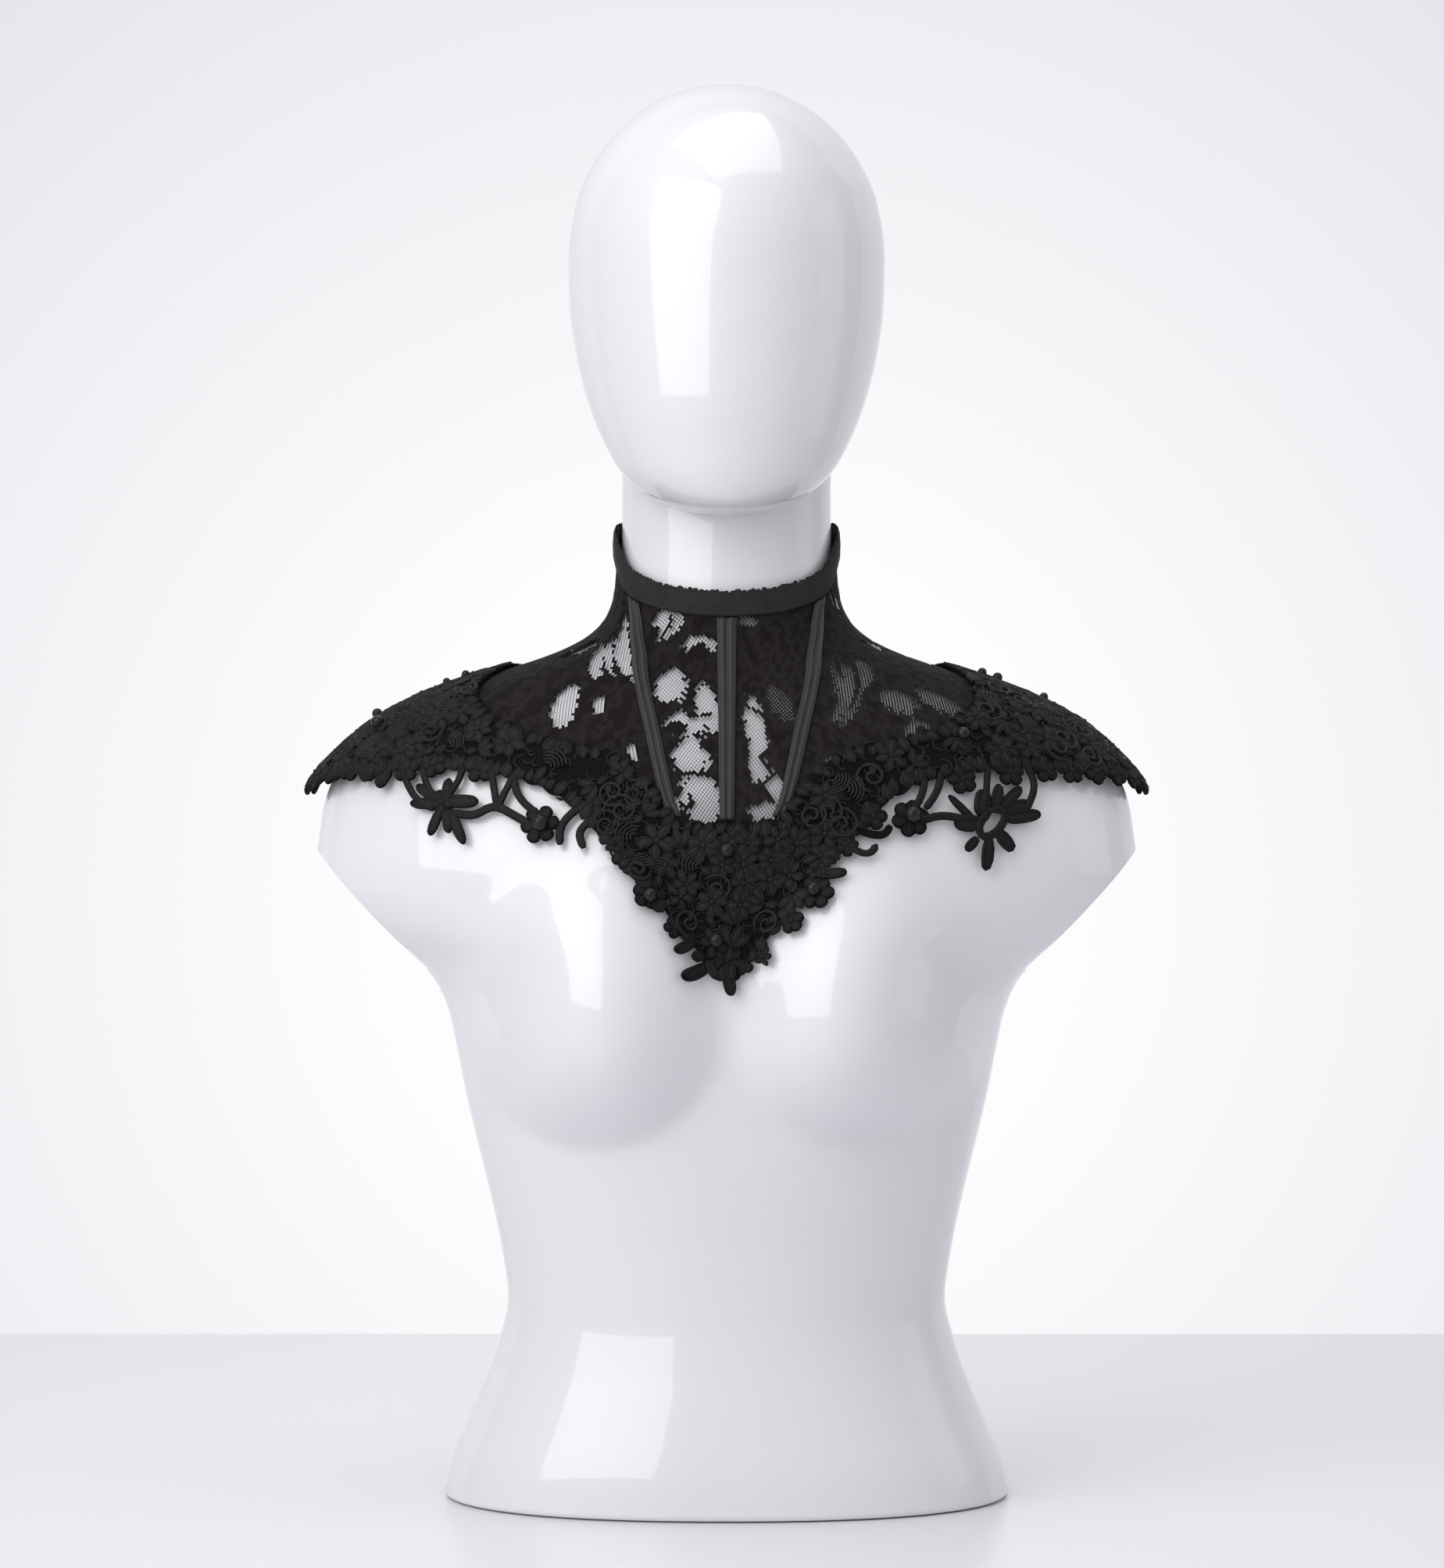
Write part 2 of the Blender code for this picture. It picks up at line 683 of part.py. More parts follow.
class Plan:
    """The flat plan of one appliqué: outlines, gaps and raised points."""

    def __init__(self, cloth, first, last):
        self.cloth = cloth
        self.first, self.last = first, last
        self.spots, self.lifts, self.faces = [], [], []
        self.solid, self.open = set(), set()
        self.raised = []

    def inside(self, angle, margin=4.0):
        middle = 120.0
        return self.first(middle) - margin < angle < self.last(middle) + margin

    def outline(self, points, kind):
        flat = [(angle * FLAT_TURN, path) for angle, path in points]
        turned = sum(a[0] * b[1] - b[0] * a[1] for a, b in zip(flat, flat[1:] + flat[:1]))
        if turned < 0:
            flat.reverse()
        kind.add(len(self.faces))
        self.faces.append(list(range(len(self.spots), len(self.spots) + len(flat))))
        self.spots += flat
        self.lifts += [0.0] * len(flat)

    def laid(self, angle, path, points):
        """Local points in mm, laid on the cloth round a place."""
        turn = self.cloth.frame(angle, path)
        return [
            (angle + turn[0, 0] * u + turn[0, 1] * v, path + turn[1, 0] * u + turn[1, 1] * v)
            for u, v in points
        ]

    def motif(self, angle, path, points):
        if self.inside(angle):
            self.outline(self.laid(angle, path, points), self.solid)

    def gap(self, angle, path, points):
        if self.inside(angle, -3.0):
            self.outline(self.laid(angle, path, points), self.open)

    def strap(self, route):
        if not self.inside(route[len(route) // 2][0]):
            return
        sides = ([], [])
        for i, (angle, path) in enumerate(route):
            turn = self.cloth.frame(angle, path)
            before, after = route[max(i - 1, 0)], route[min(i + 1, len(route) - 1)]
            step = np.linalg.solve(turn, (after[0] - before[0], after[1] - before[1]))
            u, v = step / np.linalg.norm(step) * STRAP_WIDTH / 2
            for side, local in zip(sides, ((-v, u), (v, -u))):
                side += self.laid(angle, path, [local])
            self.raise_at([(angle, path, 0.7)], 1.2)
        self.outline(sides[0] + sides[1][::-1], self.solid)

    def raise_at(self, rows, apart=3.2):
        """Adds points with a lift, leaving out any that is too near another."""
        for angle, path, lift in rows:
            flat = (angle * FLAT_TURN, path)
            if all(math.dist(flat, other) > apart for other, _ in self.raised):
                self.raised.append((flat, lift))

    def peak(self, angle, path, reach, lifts):
        """A raised centre with a ring of petals round it."""
        if self.inside(angle):
            petals = self.laid(angle, path, ring([reach] * 5, 0.6))
            self.raise_at([(angle, path, lifts[0])] + [(*spot, lifts[1]) for spot in petals])

    def pearl(self, angle, path):
        if self.inside(angle, 0.0):
            near = self.laid(angle, path, ring([0.62 * PEARL_RADIUS] * 5))
            far = self.laid(angle, path, ring([PEARL_RADIUS] * 6, 0.5))
            rows = [(angle, path, PEAK_LIFT + 1.6 * PEARL_RADIUS)]
            rows += [(*spot, PEAK_LIFT + 1.25 * PEARL_RADIUS) for spot in near]
            rows += [(*spot, PEAK_LIFT) for spot in far]
            self.raise_at(rows, 1.0)

    def triangles(self):
        """The plan's kept triangles, and each point's lift."""
        path = np.linspace(*RANGE_PATHS, 26)
        limits = set()
        border = [(self.first(p), p) for p in path] + [(self.last(p), p) for p in path[::-1]]
        self.outline(border, limits)
        for flat, lift in self.raised:
            self.spots.append(flat)
            self.lifts.append(lift)
        spots = [Vector(spot) for spot in self.spots]
        found = delaunay_2d_cdt(spots, [], self.faces, 0, 0.05)
        points, faces, sources, owners = found[0], found[2], found[3], found[5]
        lifts = [max([self.lifts[i] for i in source], default=0.0) for source in sources]
        kept = [
            tuple(face)
            for face, owner in zip(faces, owners)
            if limits & set(owner) and self.solid & set(owner) and not self.open & set(owner)
        ]
        return points, largest_patch(kept), lifts


def fans_at(faces):
    """For each point, its faces grouped by the edges that they share there."""
    around = {}
    for face in faces:
        for corner in face:
            around.setdefault(corner, []).append(face)
    for corner, members in around.items():
        groups = []
        for face in members:
            touching = [g for g in groups if any(len(set(face) & set(o)) > 1 for o in g)]
            merged = [face] + [other for g in touching for other in g]
            groups = [g for g in groups if g not in touching] + [merged]
        yield corner, groups


def largest_patch(faces):
    """The largest joined patch, with no two parts of it meeting at one point only."""
    while True:
        loose = set()
        for _, groups in fans_at(faces):
            for group in sorted(groups, key=len)[:-1]:
                loose |= set(group)
        if not loose:
            break
        faces = [face for face in faces if face not in loose]
    patches = []
    for face in faces:
        corners = set(face)
        touching = [patch for patch in patches if patch[0] & corners]
        joined = (corners.union(*(p[0] for p in touching)), [face])
        for patch in touching:
            joined[1].extend(patch[1])
        patches = [patch for patch in patches if patch not in touching] + [joined]
    return max(patches, key=lambda patch: len(patch[1]))[1]


def applique_shape(cloth, plan):
    """The plan laid over the lace and made thick, with its raised outer points."""
    points, faces, lifts = plan.triangles()
    shape = bmesh.new()
    verts = {}
    for face in faces:
        for corner in face:
            if corner not in verts:
                verts[corner] = shape.verts.new((*points[corner], 0.0))
        shape.faces.new([verts[corner] for corner in face])
    lift_at = {verts[i].co.copy().freeze(): lifts[i] for i in verts}
    grown = bmesh.ops.extrude_face_region(shape, geom=shape.faces[:], use_keep_orig=True)
    outer = {part for part in grown["geom"] if isinstance(part, bmesh.types.BMVert)}
    offset = LACE_WALL + APPLIQUE_GAP
    for vert in shape.verts:
        lift = APPLIQUE_WALL + lift_at[vert.co.copy().freeze()] if vert in outer else 0.0
        vert.co = cloth.point(vert.co.x / FLAT_TURN, vert.co.y, offset + lift)
    return shape


def edge_path(angle, column):
    return on_table(APPLIQUE_EDGES, abs(angle), column)


def add_base(plan, first, last):
    """The dense body of the appliqué with its field of raised flowers."""
    count = max(6, round((last - first) / (1.6 if last < 20 else 3.0)))
    turns = np.linspace(first - 1.5, last + 1.5, count)
    upper = [(a, edge_path(a, 1) + 1.2 * math.sin(a * 1.9)) for a in turns]
    lower = [(a, edge_path(a, 2)) for a in turns[::-1]]
    plan.outline(upper + lower, plan.solid)


def add_field(plan, cloth, first, last):
    spacing = FIELD_STEP if first < 99 and last > -99 else BACK_FIELD_STEP
    rows = np.arange(94.0, 215.0, spacing * 0.86)
    for row, path in enumerate(rows):
        angle = first + 2.0
        step = 0.0
        while angle < last:
            step = spacing * cloth.frame(angle, path)[0, 0]
            spot = angle + (step / 2 if row % 2 else 0.0)
            high, low = edge_path(spot, 1), edge_path(spot, 2)
            if high + 5 < path < low - 4 and spot < last - 1:
                plan.peak(spot, path, FIELD_PETAL, (PEAK_LIFT, PETAL_LIFT))
                plan.raise_at([(spot + step / 2, path, 0.15)])
            angle += step


def add_back_edge(plan, cloth, side):
    """Flowers and leaves in turn along the lower edge behind one shoulder."""
    angle, number = 93.0, 0
    while angle < 176:
        path = edge_path(angle, 2)
        if number % 2:
            plan.motif(side * angle, path + 3, leaf_outline(15, 8, 0))
        else:
            plan.motif(side * angle, path, flower_outline(8.5))
            plan.peak(side * angle, path, 4.6, (PEAK_LIFT, PETAL_LIFT))
        down = edge_path(angle + 1, 2) - path
        along = math.hypot(1 / cloth.frame(angle, path)[0, 0], down)
        angle += BACK_STEP / 2 / along * 1.35
        number += 1


def add_edge_motifs(plan):
    for angle, path in PEARLS:
        plan.pearl(angle, path)
    for angle, path, radius in FLOWERS:
        plan.motif(angle, path, flower_outline(radius))
        plan.peak(angle, path, 0.55 * radius, (PEAK_LIFT, PETAL_LIFT))
    for angle, path, length, width, turn in LEAVES:
        plan.motif(angle, path, leaf_outline(length, width, turn))
        if plan.inside(angle):
            plan.raise_at([(angle, path, PETAL_LIFT)])
    for route in STRAPS:
        plan.strap(route)
    for angle, path, length, width, turn in GAPS:
        plan.gap(angle, path, leaf_outline(length, width, turn))


def appliques(cloth, collection, finish):
    """The heavy corded lace: a front piece, and one on each shoulder and back half."""
    half = SEAM_GAP / 2

    def seam(angle, distance):
        return lambda path: angle_beside(cloth, angle, path, distance)

    pieces = (
        ("front", -APPLIQUE_SEAM, APPLIQUE_SEAM, seam(-APPLIQUE_SEAM, half), seam(APPLIQUE_SEAM, -half)),
        ("shoulder_left", -100.0, -APPLIQUE_SEAM, seam(-100.0, half), seam(-APPLIQUE_SEAM, -half)),
        ("shoulder_right", APPLIQUE_SEAM, 100.0, seam(APPLIQUE_SEAM, half), seam(100.0, -half)),
        ("back_left", -178.0, -100.0, seam(-180.0, APPLIQUE_BACK_EDGE), seam(-100.0, -half)),
        ("back_right", 100.0, 178.0, seam(100.0, half), seam(180.0, -APPLIQUE_BACK_EDGE)),
    )
    for name, first, last, begin, end in pieces:
        plan = Plan(cloth, begin, end)
        add_base(plan, first, last)
        add_edge_motifs(plan)
        if name != "front":
            add_back_edge(plan, cloth, 1 if last > 0 else -1)
        add_field(plan, cloth, first, last)
        finish_object(f"applique_{name}", applique_shape(cloth, plan), collection, finish)


def centre_over_base(collection, cutters):
    """Moves every shape so that the whole object stands centred on the origin."""
    bpy.context.view_layer.update()
    graph = bpy.context.evaluated_depsgraph_get()
    corners = np.array(
        [corner for made in collection.objects for corner in made.evaluated_get(graph).bound_box]
    )
    middle = (corners.min(axis=0) + corners.max(axis=0)) / 2
    for made in list(collection.objects) + list(cutters.objects):
        made.data.transform(Matrix.Translation((-middle[0], -middle[1], 0.0)))
    print("moved by", -middle[:2] / MM)


def main():
    clear_scene()
    collection = new_collection("lace_neck_corset")
    cutters = new_collection("helpers")
    white = material("gloss_white", (0.86, 0.85, 0.84), 0.18, coat=0.6)
    lace = material("black_lace", (0.012, 0.011, 0.012), 0.8, sheen=0.2)
    satin = material("charcoal_satin", (0.05, 0.05, 0.055), 0.45, sheen=0.3)
    cloth = Cloth()
    display_form(collection, cutters, white)
    lace_panels(cloth, collection, lace)
    bones(cloth, collection, satin)
    top_band(cloth, collection, satin)
    plackets(cloth, collection, satin)
    guipure = material("corded_lace", (0.02, 0.015, 0.015), 0.7, sheen=0.3)
    appliques(cloth, collection, guipure)
    centre_over_base(collection, cutters)


if __name__ == "__main__":
    main()
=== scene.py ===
"""Dresses the lace neck corset and its display form for a bright studio picture.

Lengths in the tables are millimetres, and MM turns them into metres. Z is up
and the front faces -Y. A place on the cloth is (angle, path): the angle round
the neck in degrees, 0 at the centre front and positive to +X, and the path in
millimetres from the collar's top edge down over the cloth. A local shape is
given as (across, down, out) in millimetres round such a place.
"""

import logging
import math
from dataclasses import dataclass, field
from enum import Enum
from typing import Callable, Optional, Sequence

import bmesh
import bpy
import numpy as np
from mathutils import Matrix, Vector
from mathutils.bvhtree import BVHTree
from mathutils.geometry import delaunay_2d_cdt

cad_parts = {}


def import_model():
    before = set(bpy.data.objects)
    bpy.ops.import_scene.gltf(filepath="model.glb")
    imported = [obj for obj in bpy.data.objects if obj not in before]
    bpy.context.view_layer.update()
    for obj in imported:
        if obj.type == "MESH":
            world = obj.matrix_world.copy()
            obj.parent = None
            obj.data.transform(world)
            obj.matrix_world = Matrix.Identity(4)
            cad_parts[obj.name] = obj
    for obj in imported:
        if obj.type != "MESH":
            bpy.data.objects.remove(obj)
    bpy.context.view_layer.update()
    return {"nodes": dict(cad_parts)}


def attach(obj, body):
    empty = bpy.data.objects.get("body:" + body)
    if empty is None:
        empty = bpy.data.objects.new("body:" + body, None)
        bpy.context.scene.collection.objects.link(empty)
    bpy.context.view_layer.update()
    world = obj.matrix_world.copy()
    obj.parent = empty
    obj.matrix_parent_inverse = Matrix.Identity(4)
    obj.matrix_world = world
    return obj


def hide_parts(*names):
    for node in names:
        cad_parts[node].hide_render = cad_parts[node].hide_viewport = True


log = logging.getLogger("neck_corset")

Place = tuple[float, float]
Colour = tuple[float, float, float]
Edge = Callable[[float], float]

MM = 0.001
SHIFT_Y = 12.3840645

# height, half width, front depth, back depth, roundness of the section
BODY_SECTIONS = (
    (0, 140.7, 102, 98, 2.3), (17, 136.5, 100, 96, 2.3), (46, 124.8, 94, 91, 2.25),
    (74, 114.2, 88, 84, 2.2), (97, 108.9, 85, 79, 2.2), (121, 112.0, 87, 79, 2.2),
    (148, 117.6, 92, 83, 2.2), (172, 123.5, 97, 88, 2.2), (183, 126.2, 98.7, 90.6, 2.2),
    (197, 129.5, 101, 94, 2.2), (222, 134.5, 104, 99, 2.2), (243, 139.0, 107, 103, 2.15),
    (256, 142.8, 108.5, 105, 2.1), (263, 146.5, 109, 106, 2.05), (270, 166.0, 109, 106.5, 1.85),
    (280, 189.0, 109, 107, 1.85), (292, 202.0, 108.5, 107, 1.9), (306, 206.0, 107, 107, 1.95),
    (323, 203.5, 104, 105, 2.0), (342, 200.6, 98, 102, 2.0), (356, 195.5, 91.5, 98.5, 2.0),
    (367, 188.0, 85.5, 95, 2.0), (376, 178.5, 80, 91, 2.0), (384, 166.5, 74.5, 87, 2.0),
    (391, 152.5, 69.5, 83, 2.0), (397, 138.0, 65.5, 79, 2.0), (402, 124.0, 62.5, 75.5, 2.0),
    (407, 108.5, 60, 72, 2.0), (412, 93.0, 57.5, 69, 2.0), (417.5, 79.0, 55.3, 66.5, 2.0),
    (424, 67.5, 53.2, 64, 2.0), (432, 59.5, 51.5, 61.5, 2.0), (442, 54.8, 50.2, 59.8, 2.0),
    (455, 52.9, 49.3, 58.6, 2.0), (472, 52.2, 48.5, 57.5, 2.0), (495, 52.0, 47.0, 56.0, 2.0),
    (520, 52.0, 45.5, 54.5, 2.0), (548, 52.0, 44.0, 53.0, 2.0),
)
# height, half width, y of the front, y of the back
HEAD_SECTIONS = (
    (482.5, 0.0, -60, -60), (484.5, 20.0, -80, -40), (489.0, 33.0, -86, -22),
    (496.0, 43.5, -90, -6), (505.0, 52.0, -93, 9), (520.0, 60.5, -96, 33), (540.0, 68.5, -98, 60),
    (563.0, 74.5, -98.5, 80), (588.0, 78.2, -98, 91), (614.0, 79.0, -96, 94),
    (640.0, 75.5, -89, 90), (662.0, 66.0, -76, 79), (680.0, 51.5, -57, 62), (692.0, 34.5, -36, 42),
    (698.5, 17.0, -16, 22), (700.0, 0.0, 3, 3),
)
# x and height of two points of the plane that cuts each arm off
ARM_CUT_TOP = (204.0, 320.5)
ARM_CUT_BOTTOM = (147.7, 260.8)

BUST_CENTRE = (67.0, 231.0)
BUST_RADIUS = 62.0
BUST_ABOVE = 104.0
BUST_BELOW = 55.0
BUST_RISE = 35.0
BUST_POWERS = (1.15, 1.15)

# angle from the front, height of the collar's top edge
COLLAR_TOP = (
    (0, 445.2), (20, 446.6), (43, 451.8), (58, 457.4), (69, 465.0), (80, 473.5), (95, 479.5),
    (120, 483.5), (180, 485.5),
)
LOWEST_CLOTH = 120.0
HIGHEST_CLOTH = 492.0
CLEARANCE = 1.7
LACE_WALL = 1.0
TRIM_GAP = 0.45
SEAM_GAP = 0.3
WING_FLARE = 7.0
WING_START = 376.0
WING_END = 350.0
WING_SPREAD = 38.0

# path, angle of the centre line of a side bone
SIDE_BONE = (
    (0, 60), (11, 54), (25, 42), (42, 26), (61, 16), (78, 12), (94, 10), (116, 8), (130, 6.4),
    (150, 6),
)
SHOULDER_SEAM = 92.0
BACK_EDGE = 0.6
# angle from the front, path of the lace's hidden lower edge
LACE_HEM = (
    (0, 146), (9, 140), (16, 116), (30, 117), (45, 126), (60, 134), (75, 143), (90, 150),
    (110, 146), (135, 126), (160, 116), (180, 112),
)
# angle from the front, paths of the appliqué's upper and lower edges
APPLIQUE_EDGES = (
    (0, 125.0, 200), (3, 125.5, 197), (6, 126.0, 189), (8, 125.5, 181), (10, 117.0, 171),
    (12, 109.0, 162), (14, 102.0, 153), (17, 99.0, 142), (22, 101.0, 131), (27, 104.0, 129),
    (34, 108.0, 134), (42, 110.0, 143), (50, 109.0, 155), (58, 106.0, 168), (66, 103.0, 182),
    (74, 100.0, 196), (81, 99.0, 208), (88, 100.0, 216), (95, 101.0, 214), (104, 102.0, 203),
    (114, 101.0, 191), (126, 98.0, 178), (140, 94.0, 162), (158, 88.0, 140), (180, 84.0, 131),
)
APPLIQUE_SEAM = 17.0
APPLIQUE_SIDE = 100.0
APPLIQUE_BACK_EDGE = 12.5
APPLIQUE_FOOT = LACE_WALL + 0.8


def smooth_between(places: Sequence[float], values: Sequence[float], at: np.ndarray) -> np.ndarray:
    """Reads a table between its rows with no overshoot, as a monotone cubic.

    Args:
        places: the table's rising first column.
        values: the column to read.
        at: where to read it, one number or many.

    Returns:
        The values there.
    """
    places = np.asarray(places, float)
    values = np.asarray(values, float)
    steps = np.diff(places)
    slopes = np.diff(values) / steps
    tangents = np.zeros(len(places))
    tangents[0], tangents[-1] = slopes[0], slopes[-1]
    for i in range(1, len(places) - 1):
        if slopes[i - 1] * slopes[i] > 0:
            before = 2 * steps[i] + steps[i - 1]
            after = steps[i] + 2 * steps[i - 1]
            tangents[i] = (before + after) / (before / slopes[i - 1] + after / slopes[i])
    at = np.clip(at, places[0], places[-1])
    row = np.clip(np.searchsorted(places, at, side="right") - 1, 0, len(steps) - 1)
    step = steps[row]
    t = (at - places[row]) / step
    return (
        (1 + 2 * t) * (1 - t) ** 2 * values[row]
        + t * (1 - t) ** 2 * step * tangents[row]
        + t**2 * (3 - 2 * t) * values[row + 1]
        + t**2 * (t - 1) * step * tangents[row + 1]
    )


def on_table(table: Sequence[Sequence[float]], at: np.ndarray, column: int = 1) -> np.ndarray:
    """Reads one column of a table of rows at a place in its first column."""
    rows = np.array(table, float)
    return smooth_between(rows[:, 0], rows[:, column], at)


def table_columns(table: Sequence[Sequence[float]]) -> tuple[np.ndarray, np.ndarray]:
    """Gives a section table's columns, with each row's distance along the outline.

    Args:
        table: rows that start with a height and a half width.

    Returns:
        The distances, and the columns.
    """
    rows = np.array(table, float)
    run = np.hypot(np.diff(rows[:, 0]), np.diff(rows[:, 1]))
    return np.concatenate([[0], np.cumsum(run)]), rows.T


def turned(across: np.ndarray, down: np.ndarray, degrees: float) -> tuple[np.ndarray, np.ndarray]:
    """Local millimetres after a turn from straight down towards +X."""
    cos, sin = math.cos(math.radians(degrees)), math.sin(math.radians(degrees))
    return across * cos + down * sin, down * cos - across * sin


def doubled_area(a: np.ndarray, b: np.ndarray, c: np.ndarray) -> np.ndarray:
    """Twice the signed areas of flat triangles."""
    one, two = b - a, c - a
    return one[:, 0] * two[:, 1] - one[:, 1] * two[:, 0]


def add_object(name: str, data: bpy.types.ID) -> bpy.types.Object:
    """Makes an object and links it to the scene."""
    made = bpy.data.objects.new(name, data)
    bpy.context.scene.collection.objects.link(made)
    return made


def set_sockets(node: bpy.types.Node, values: dict[str, object]) -> bpy.types.Node:
    """Sets some of a node's sockets to constants."""
    for name, value in values.items():
        node.inputs[name].default_value = value
    return node


def add_node(tree: bpy.types.NodeTree, kind: str, **values: object) -> bpy.types.Node:
    """Adds a shader node with constants on some of its sockets."""
    return set_sockets(tree.nodes.new(f"ShaderNode{kind}"), values)


def body_points(turn: np.ndarray, run: np.ndarray) -> np.ndarray:
    """Points of the smooth body.

    Args:
        turn: angles round the body in radians, 0 at the front.
        run: distances up the outline in millimetres.

    Returns:
        The points in millimetres, before the shift to the common origin.
    """
    runs, (heights, *columns) = table_columns(BODY_SECTIONS)
    z = smooth_between(runs, heights, run)
    half_width, front, back, roundness = (smooth_between(runs, c, run) for c in columns)
    side, fore = np.sin(turn), np.cos(turn)
    x = half_width * np.sign(side) * np.abs(side) ** (2 / roundness)
    y = -np.where(fore > 0, front, back) * np.sign(fore) * np.abs(fore) ** (2 / roundness)
    across = (np.abs(x) - BUST_CENTRE[0]) / BUST_RADIUS
    up = z - BUST_CENTRE[1]
    along = up / np.where(up > 0, BUST_ABOVE, BUST_BELOW)
    power = BUST_POWERS[0] + BUST_POWERS[1] * np.clip(along, 0, 1)
    rise = BUST_RISE * np.clip(1 - across**2 - along**2, 0, 1) ** power
    return np.stack([x, y - np.where(fore > 0, rise, 0), z], axis=-1)


class Surface:
    """The surface that the cloth follows, as a fine grid over (angle, path)."""

    ANGLE_STEP = 1.0
    FIRST_PATH = -5.0
    LAST_PATH = 284.0
    SAMPLES = 700
    FARTHEST = 178.0

    def __init__(self) -> None:
        """Works the grid out from the body's sections."""
        runs, table = table_columns(BODY_SECTIONS)
        self.angles = np.arange(-180, 180 + self.ANGLE_STEP / 2, self.ANGLE_STEP)
        self.paths = np.arange(self.FIRST_PATH, self.LAST_PATH, 1.0)
        lowest = np.interp(LOWEST_CLOTH, table[0], runs)
        highest = np.interp(HIGHEST_CLOTH, table[0], runs)
        turn, run = np.meshgrid(
            np.radians(self.angles), np.linspace(highest, lowest, self.SAMPLES), indexing="ij"
        )
        points = body_points(turn, run)
        points = points + self.outward(points) * CLEARANCE
        flare = np.clip((WING_START - points[..., 2]) / (WING_START - WING_END), 0, 1)
        beside = np.exp(-(((np.abs(self.angles) - 90) / WING_SPREAD) ** 2))
        points[..., 0] += np.sign(points[..., 0]) * WING_FLARE * flare**1.5 * beside[:, None]
        tops = on_table(COLLAR_TOP, np.abs(self.angles))
        self.points = np.array([self.along(c, top) for c, top in zip(points, tops)])
        self.points[..., 1] += SHIFT_Y
        self.normals = self.outward(self.points)

    @staticmethod
    def outward(points: np.ndarray) -> np.ndarray:
        """Unit directions away from the body at each point of a grid."""
        round_it = np.gradient(points, axis=0)
        round_it[0] = round_it[-1] = points[1] - points[-2]
        normals = np.cross(np.gradient(points, axis=1), round_it)
        return normals / np.linalg.norm(normals, axis=-1, keepdims=True)

    def along(self, column: np.ndarray, top: float) -> np.ndarray:
        """One meridian, resampled at even distances from the collar's top edge."""
        run = np.concatenate([[0], np.cumsum(np.linalg.norm(np.diff(column, axis=0), axis=1))])
        start = np.interp(-top, -column[:, 2], run)
        return np.stack([np.interp(self.paths + start, run, c) for c in column.T], axis=-1)

    def read(self, grid: np.ndarray, angle: np.ndarray, path: np.ndarray) -> np.ndarray:
        """Reads one of the grids between its points.

        Args:
            grid: the points or the normals.
            angle: angles in degrees.
            path: paths in millimetres.

        Returns:
            One vector for each place.
        """
        across = np.clip(
            (np.asarray(angle, float) + 180) / self.ANGLE_STEP, 0, len(self.angles) - 1.001
        )
        down = np.clip(np.asarray(path, float) - self.FIRST_PATH, 0, len(self.paths) - 1.001)
        i, j = across.astype(int), down.astype(int)
        u, v = (across - i)[..., None], (down - j)[..., None]
        near = grid[i, j] * (1 - v) + grid[i, j + 1] * v
        far = grid[i + 1, j] * (1 - v) + grid[i + 1, j + 1] * v
        return near * (1 - u) + far * u

    def place(self, angle: np.ndarray, path: np.ndarray, out: np.ndarray) -> np.ndarray:
        """Points of the cloth in metres.

        Args:
            angle: angles in degrees.
            path: paths in millimetres.
            out: distances out from the surface in millimetres.

        Returns:
            One point for each place.
        """
        normals = self.read(self.normals, angle, path)
        normals /= np.linalg.norm(normals, axis=-1, keepdims=True)
        return (self.read(self.points, angle, path) + normals * np.asarray(out)[..., None]) * MM

    def steps(self, angle: np.ndarray, path: np.ndarray) -> tuple[np.ndarray, ...]:
        """How far a degree and a millimetre of path lead over the cloth.

        Args:
            angle: angles in degrees.
            path: paths in millimetres.

        Returns:
            Millimetres across for a degree, and millimetres across and square
            to that for a millimetre of path.
        """
        angle, path = np.asarray(angle, float), np.asarray(path, float)
        turn = (
            self.read(self.points, angle + 1, path) - self.read(self.points, angle - 1, path)
        ) / 2
        down = (
            self.read(self.points, angle, path + 1) - self.read(self.points, angle, path - 1)
        ) / 2
        length = np.linalg.norm(turn, axis=-1)
        across = turn / length[..., None]
        lean = (down * across).sum(-1)
        square = np.linalg.norm(down - across * lean[..., None], axis=-1)
        return length, lean, square

    def laid(
        self, angle: np.ndarray, path: np.ndarray, across: np.ndarray, down: np.ndarray,
    ) -> tuple[np.ndarray, np.ndarray]:
        """Turns local millimetres round a place into angles and paths.

        Args:
            angle: the centre's angle, one or many.
            path: the centre's path, one or many.
            across: millimetres to +X as seen from the front.
            down: millimetres down over the cloth.

        Returns:
            The angles and the paths.
        """
        length, lean, square = self.steps(angle, path)
        step = down / square
        return angle + (across - step * lean) / length, path + step

    def local(
        self, centre: Place, angle: np.ndarray, path: np.ndarray,
    ) -> tuple[np.ndarray, np.ndarray]:
        """Millimetres across and down from a centre to each of many places."""
        length, lean, square = self.steps(*centre)
        down = path - centre[1]
        return (angle - centre[0]) * length + down * lean, down * square

    def heading(self, angle: np.ndarray, path: np.ndarray) -> tuple[np.ndarray, np.ndarray]:
        """Which way a line of places runs, across and down, as unit steps."""
        length, lean, square = self.steps(angle, path)
        da, dp = np.gradient(angle), np.gradient(path)
        across, down = da * length + dp * lean, dp * square
        size = np.maximum(np.hypot(across, down), 1e-9)
        return across / size, down / size

    def beside(self, middle: float, path: float, distance: float) -> float:
        """The angle that lies a distance to one side of a meridian."""
        length = self.steps(np.clip(middle, -self.FARTHEST, self.FARTHEST), path)[0]
        return float(middle + distance / length)


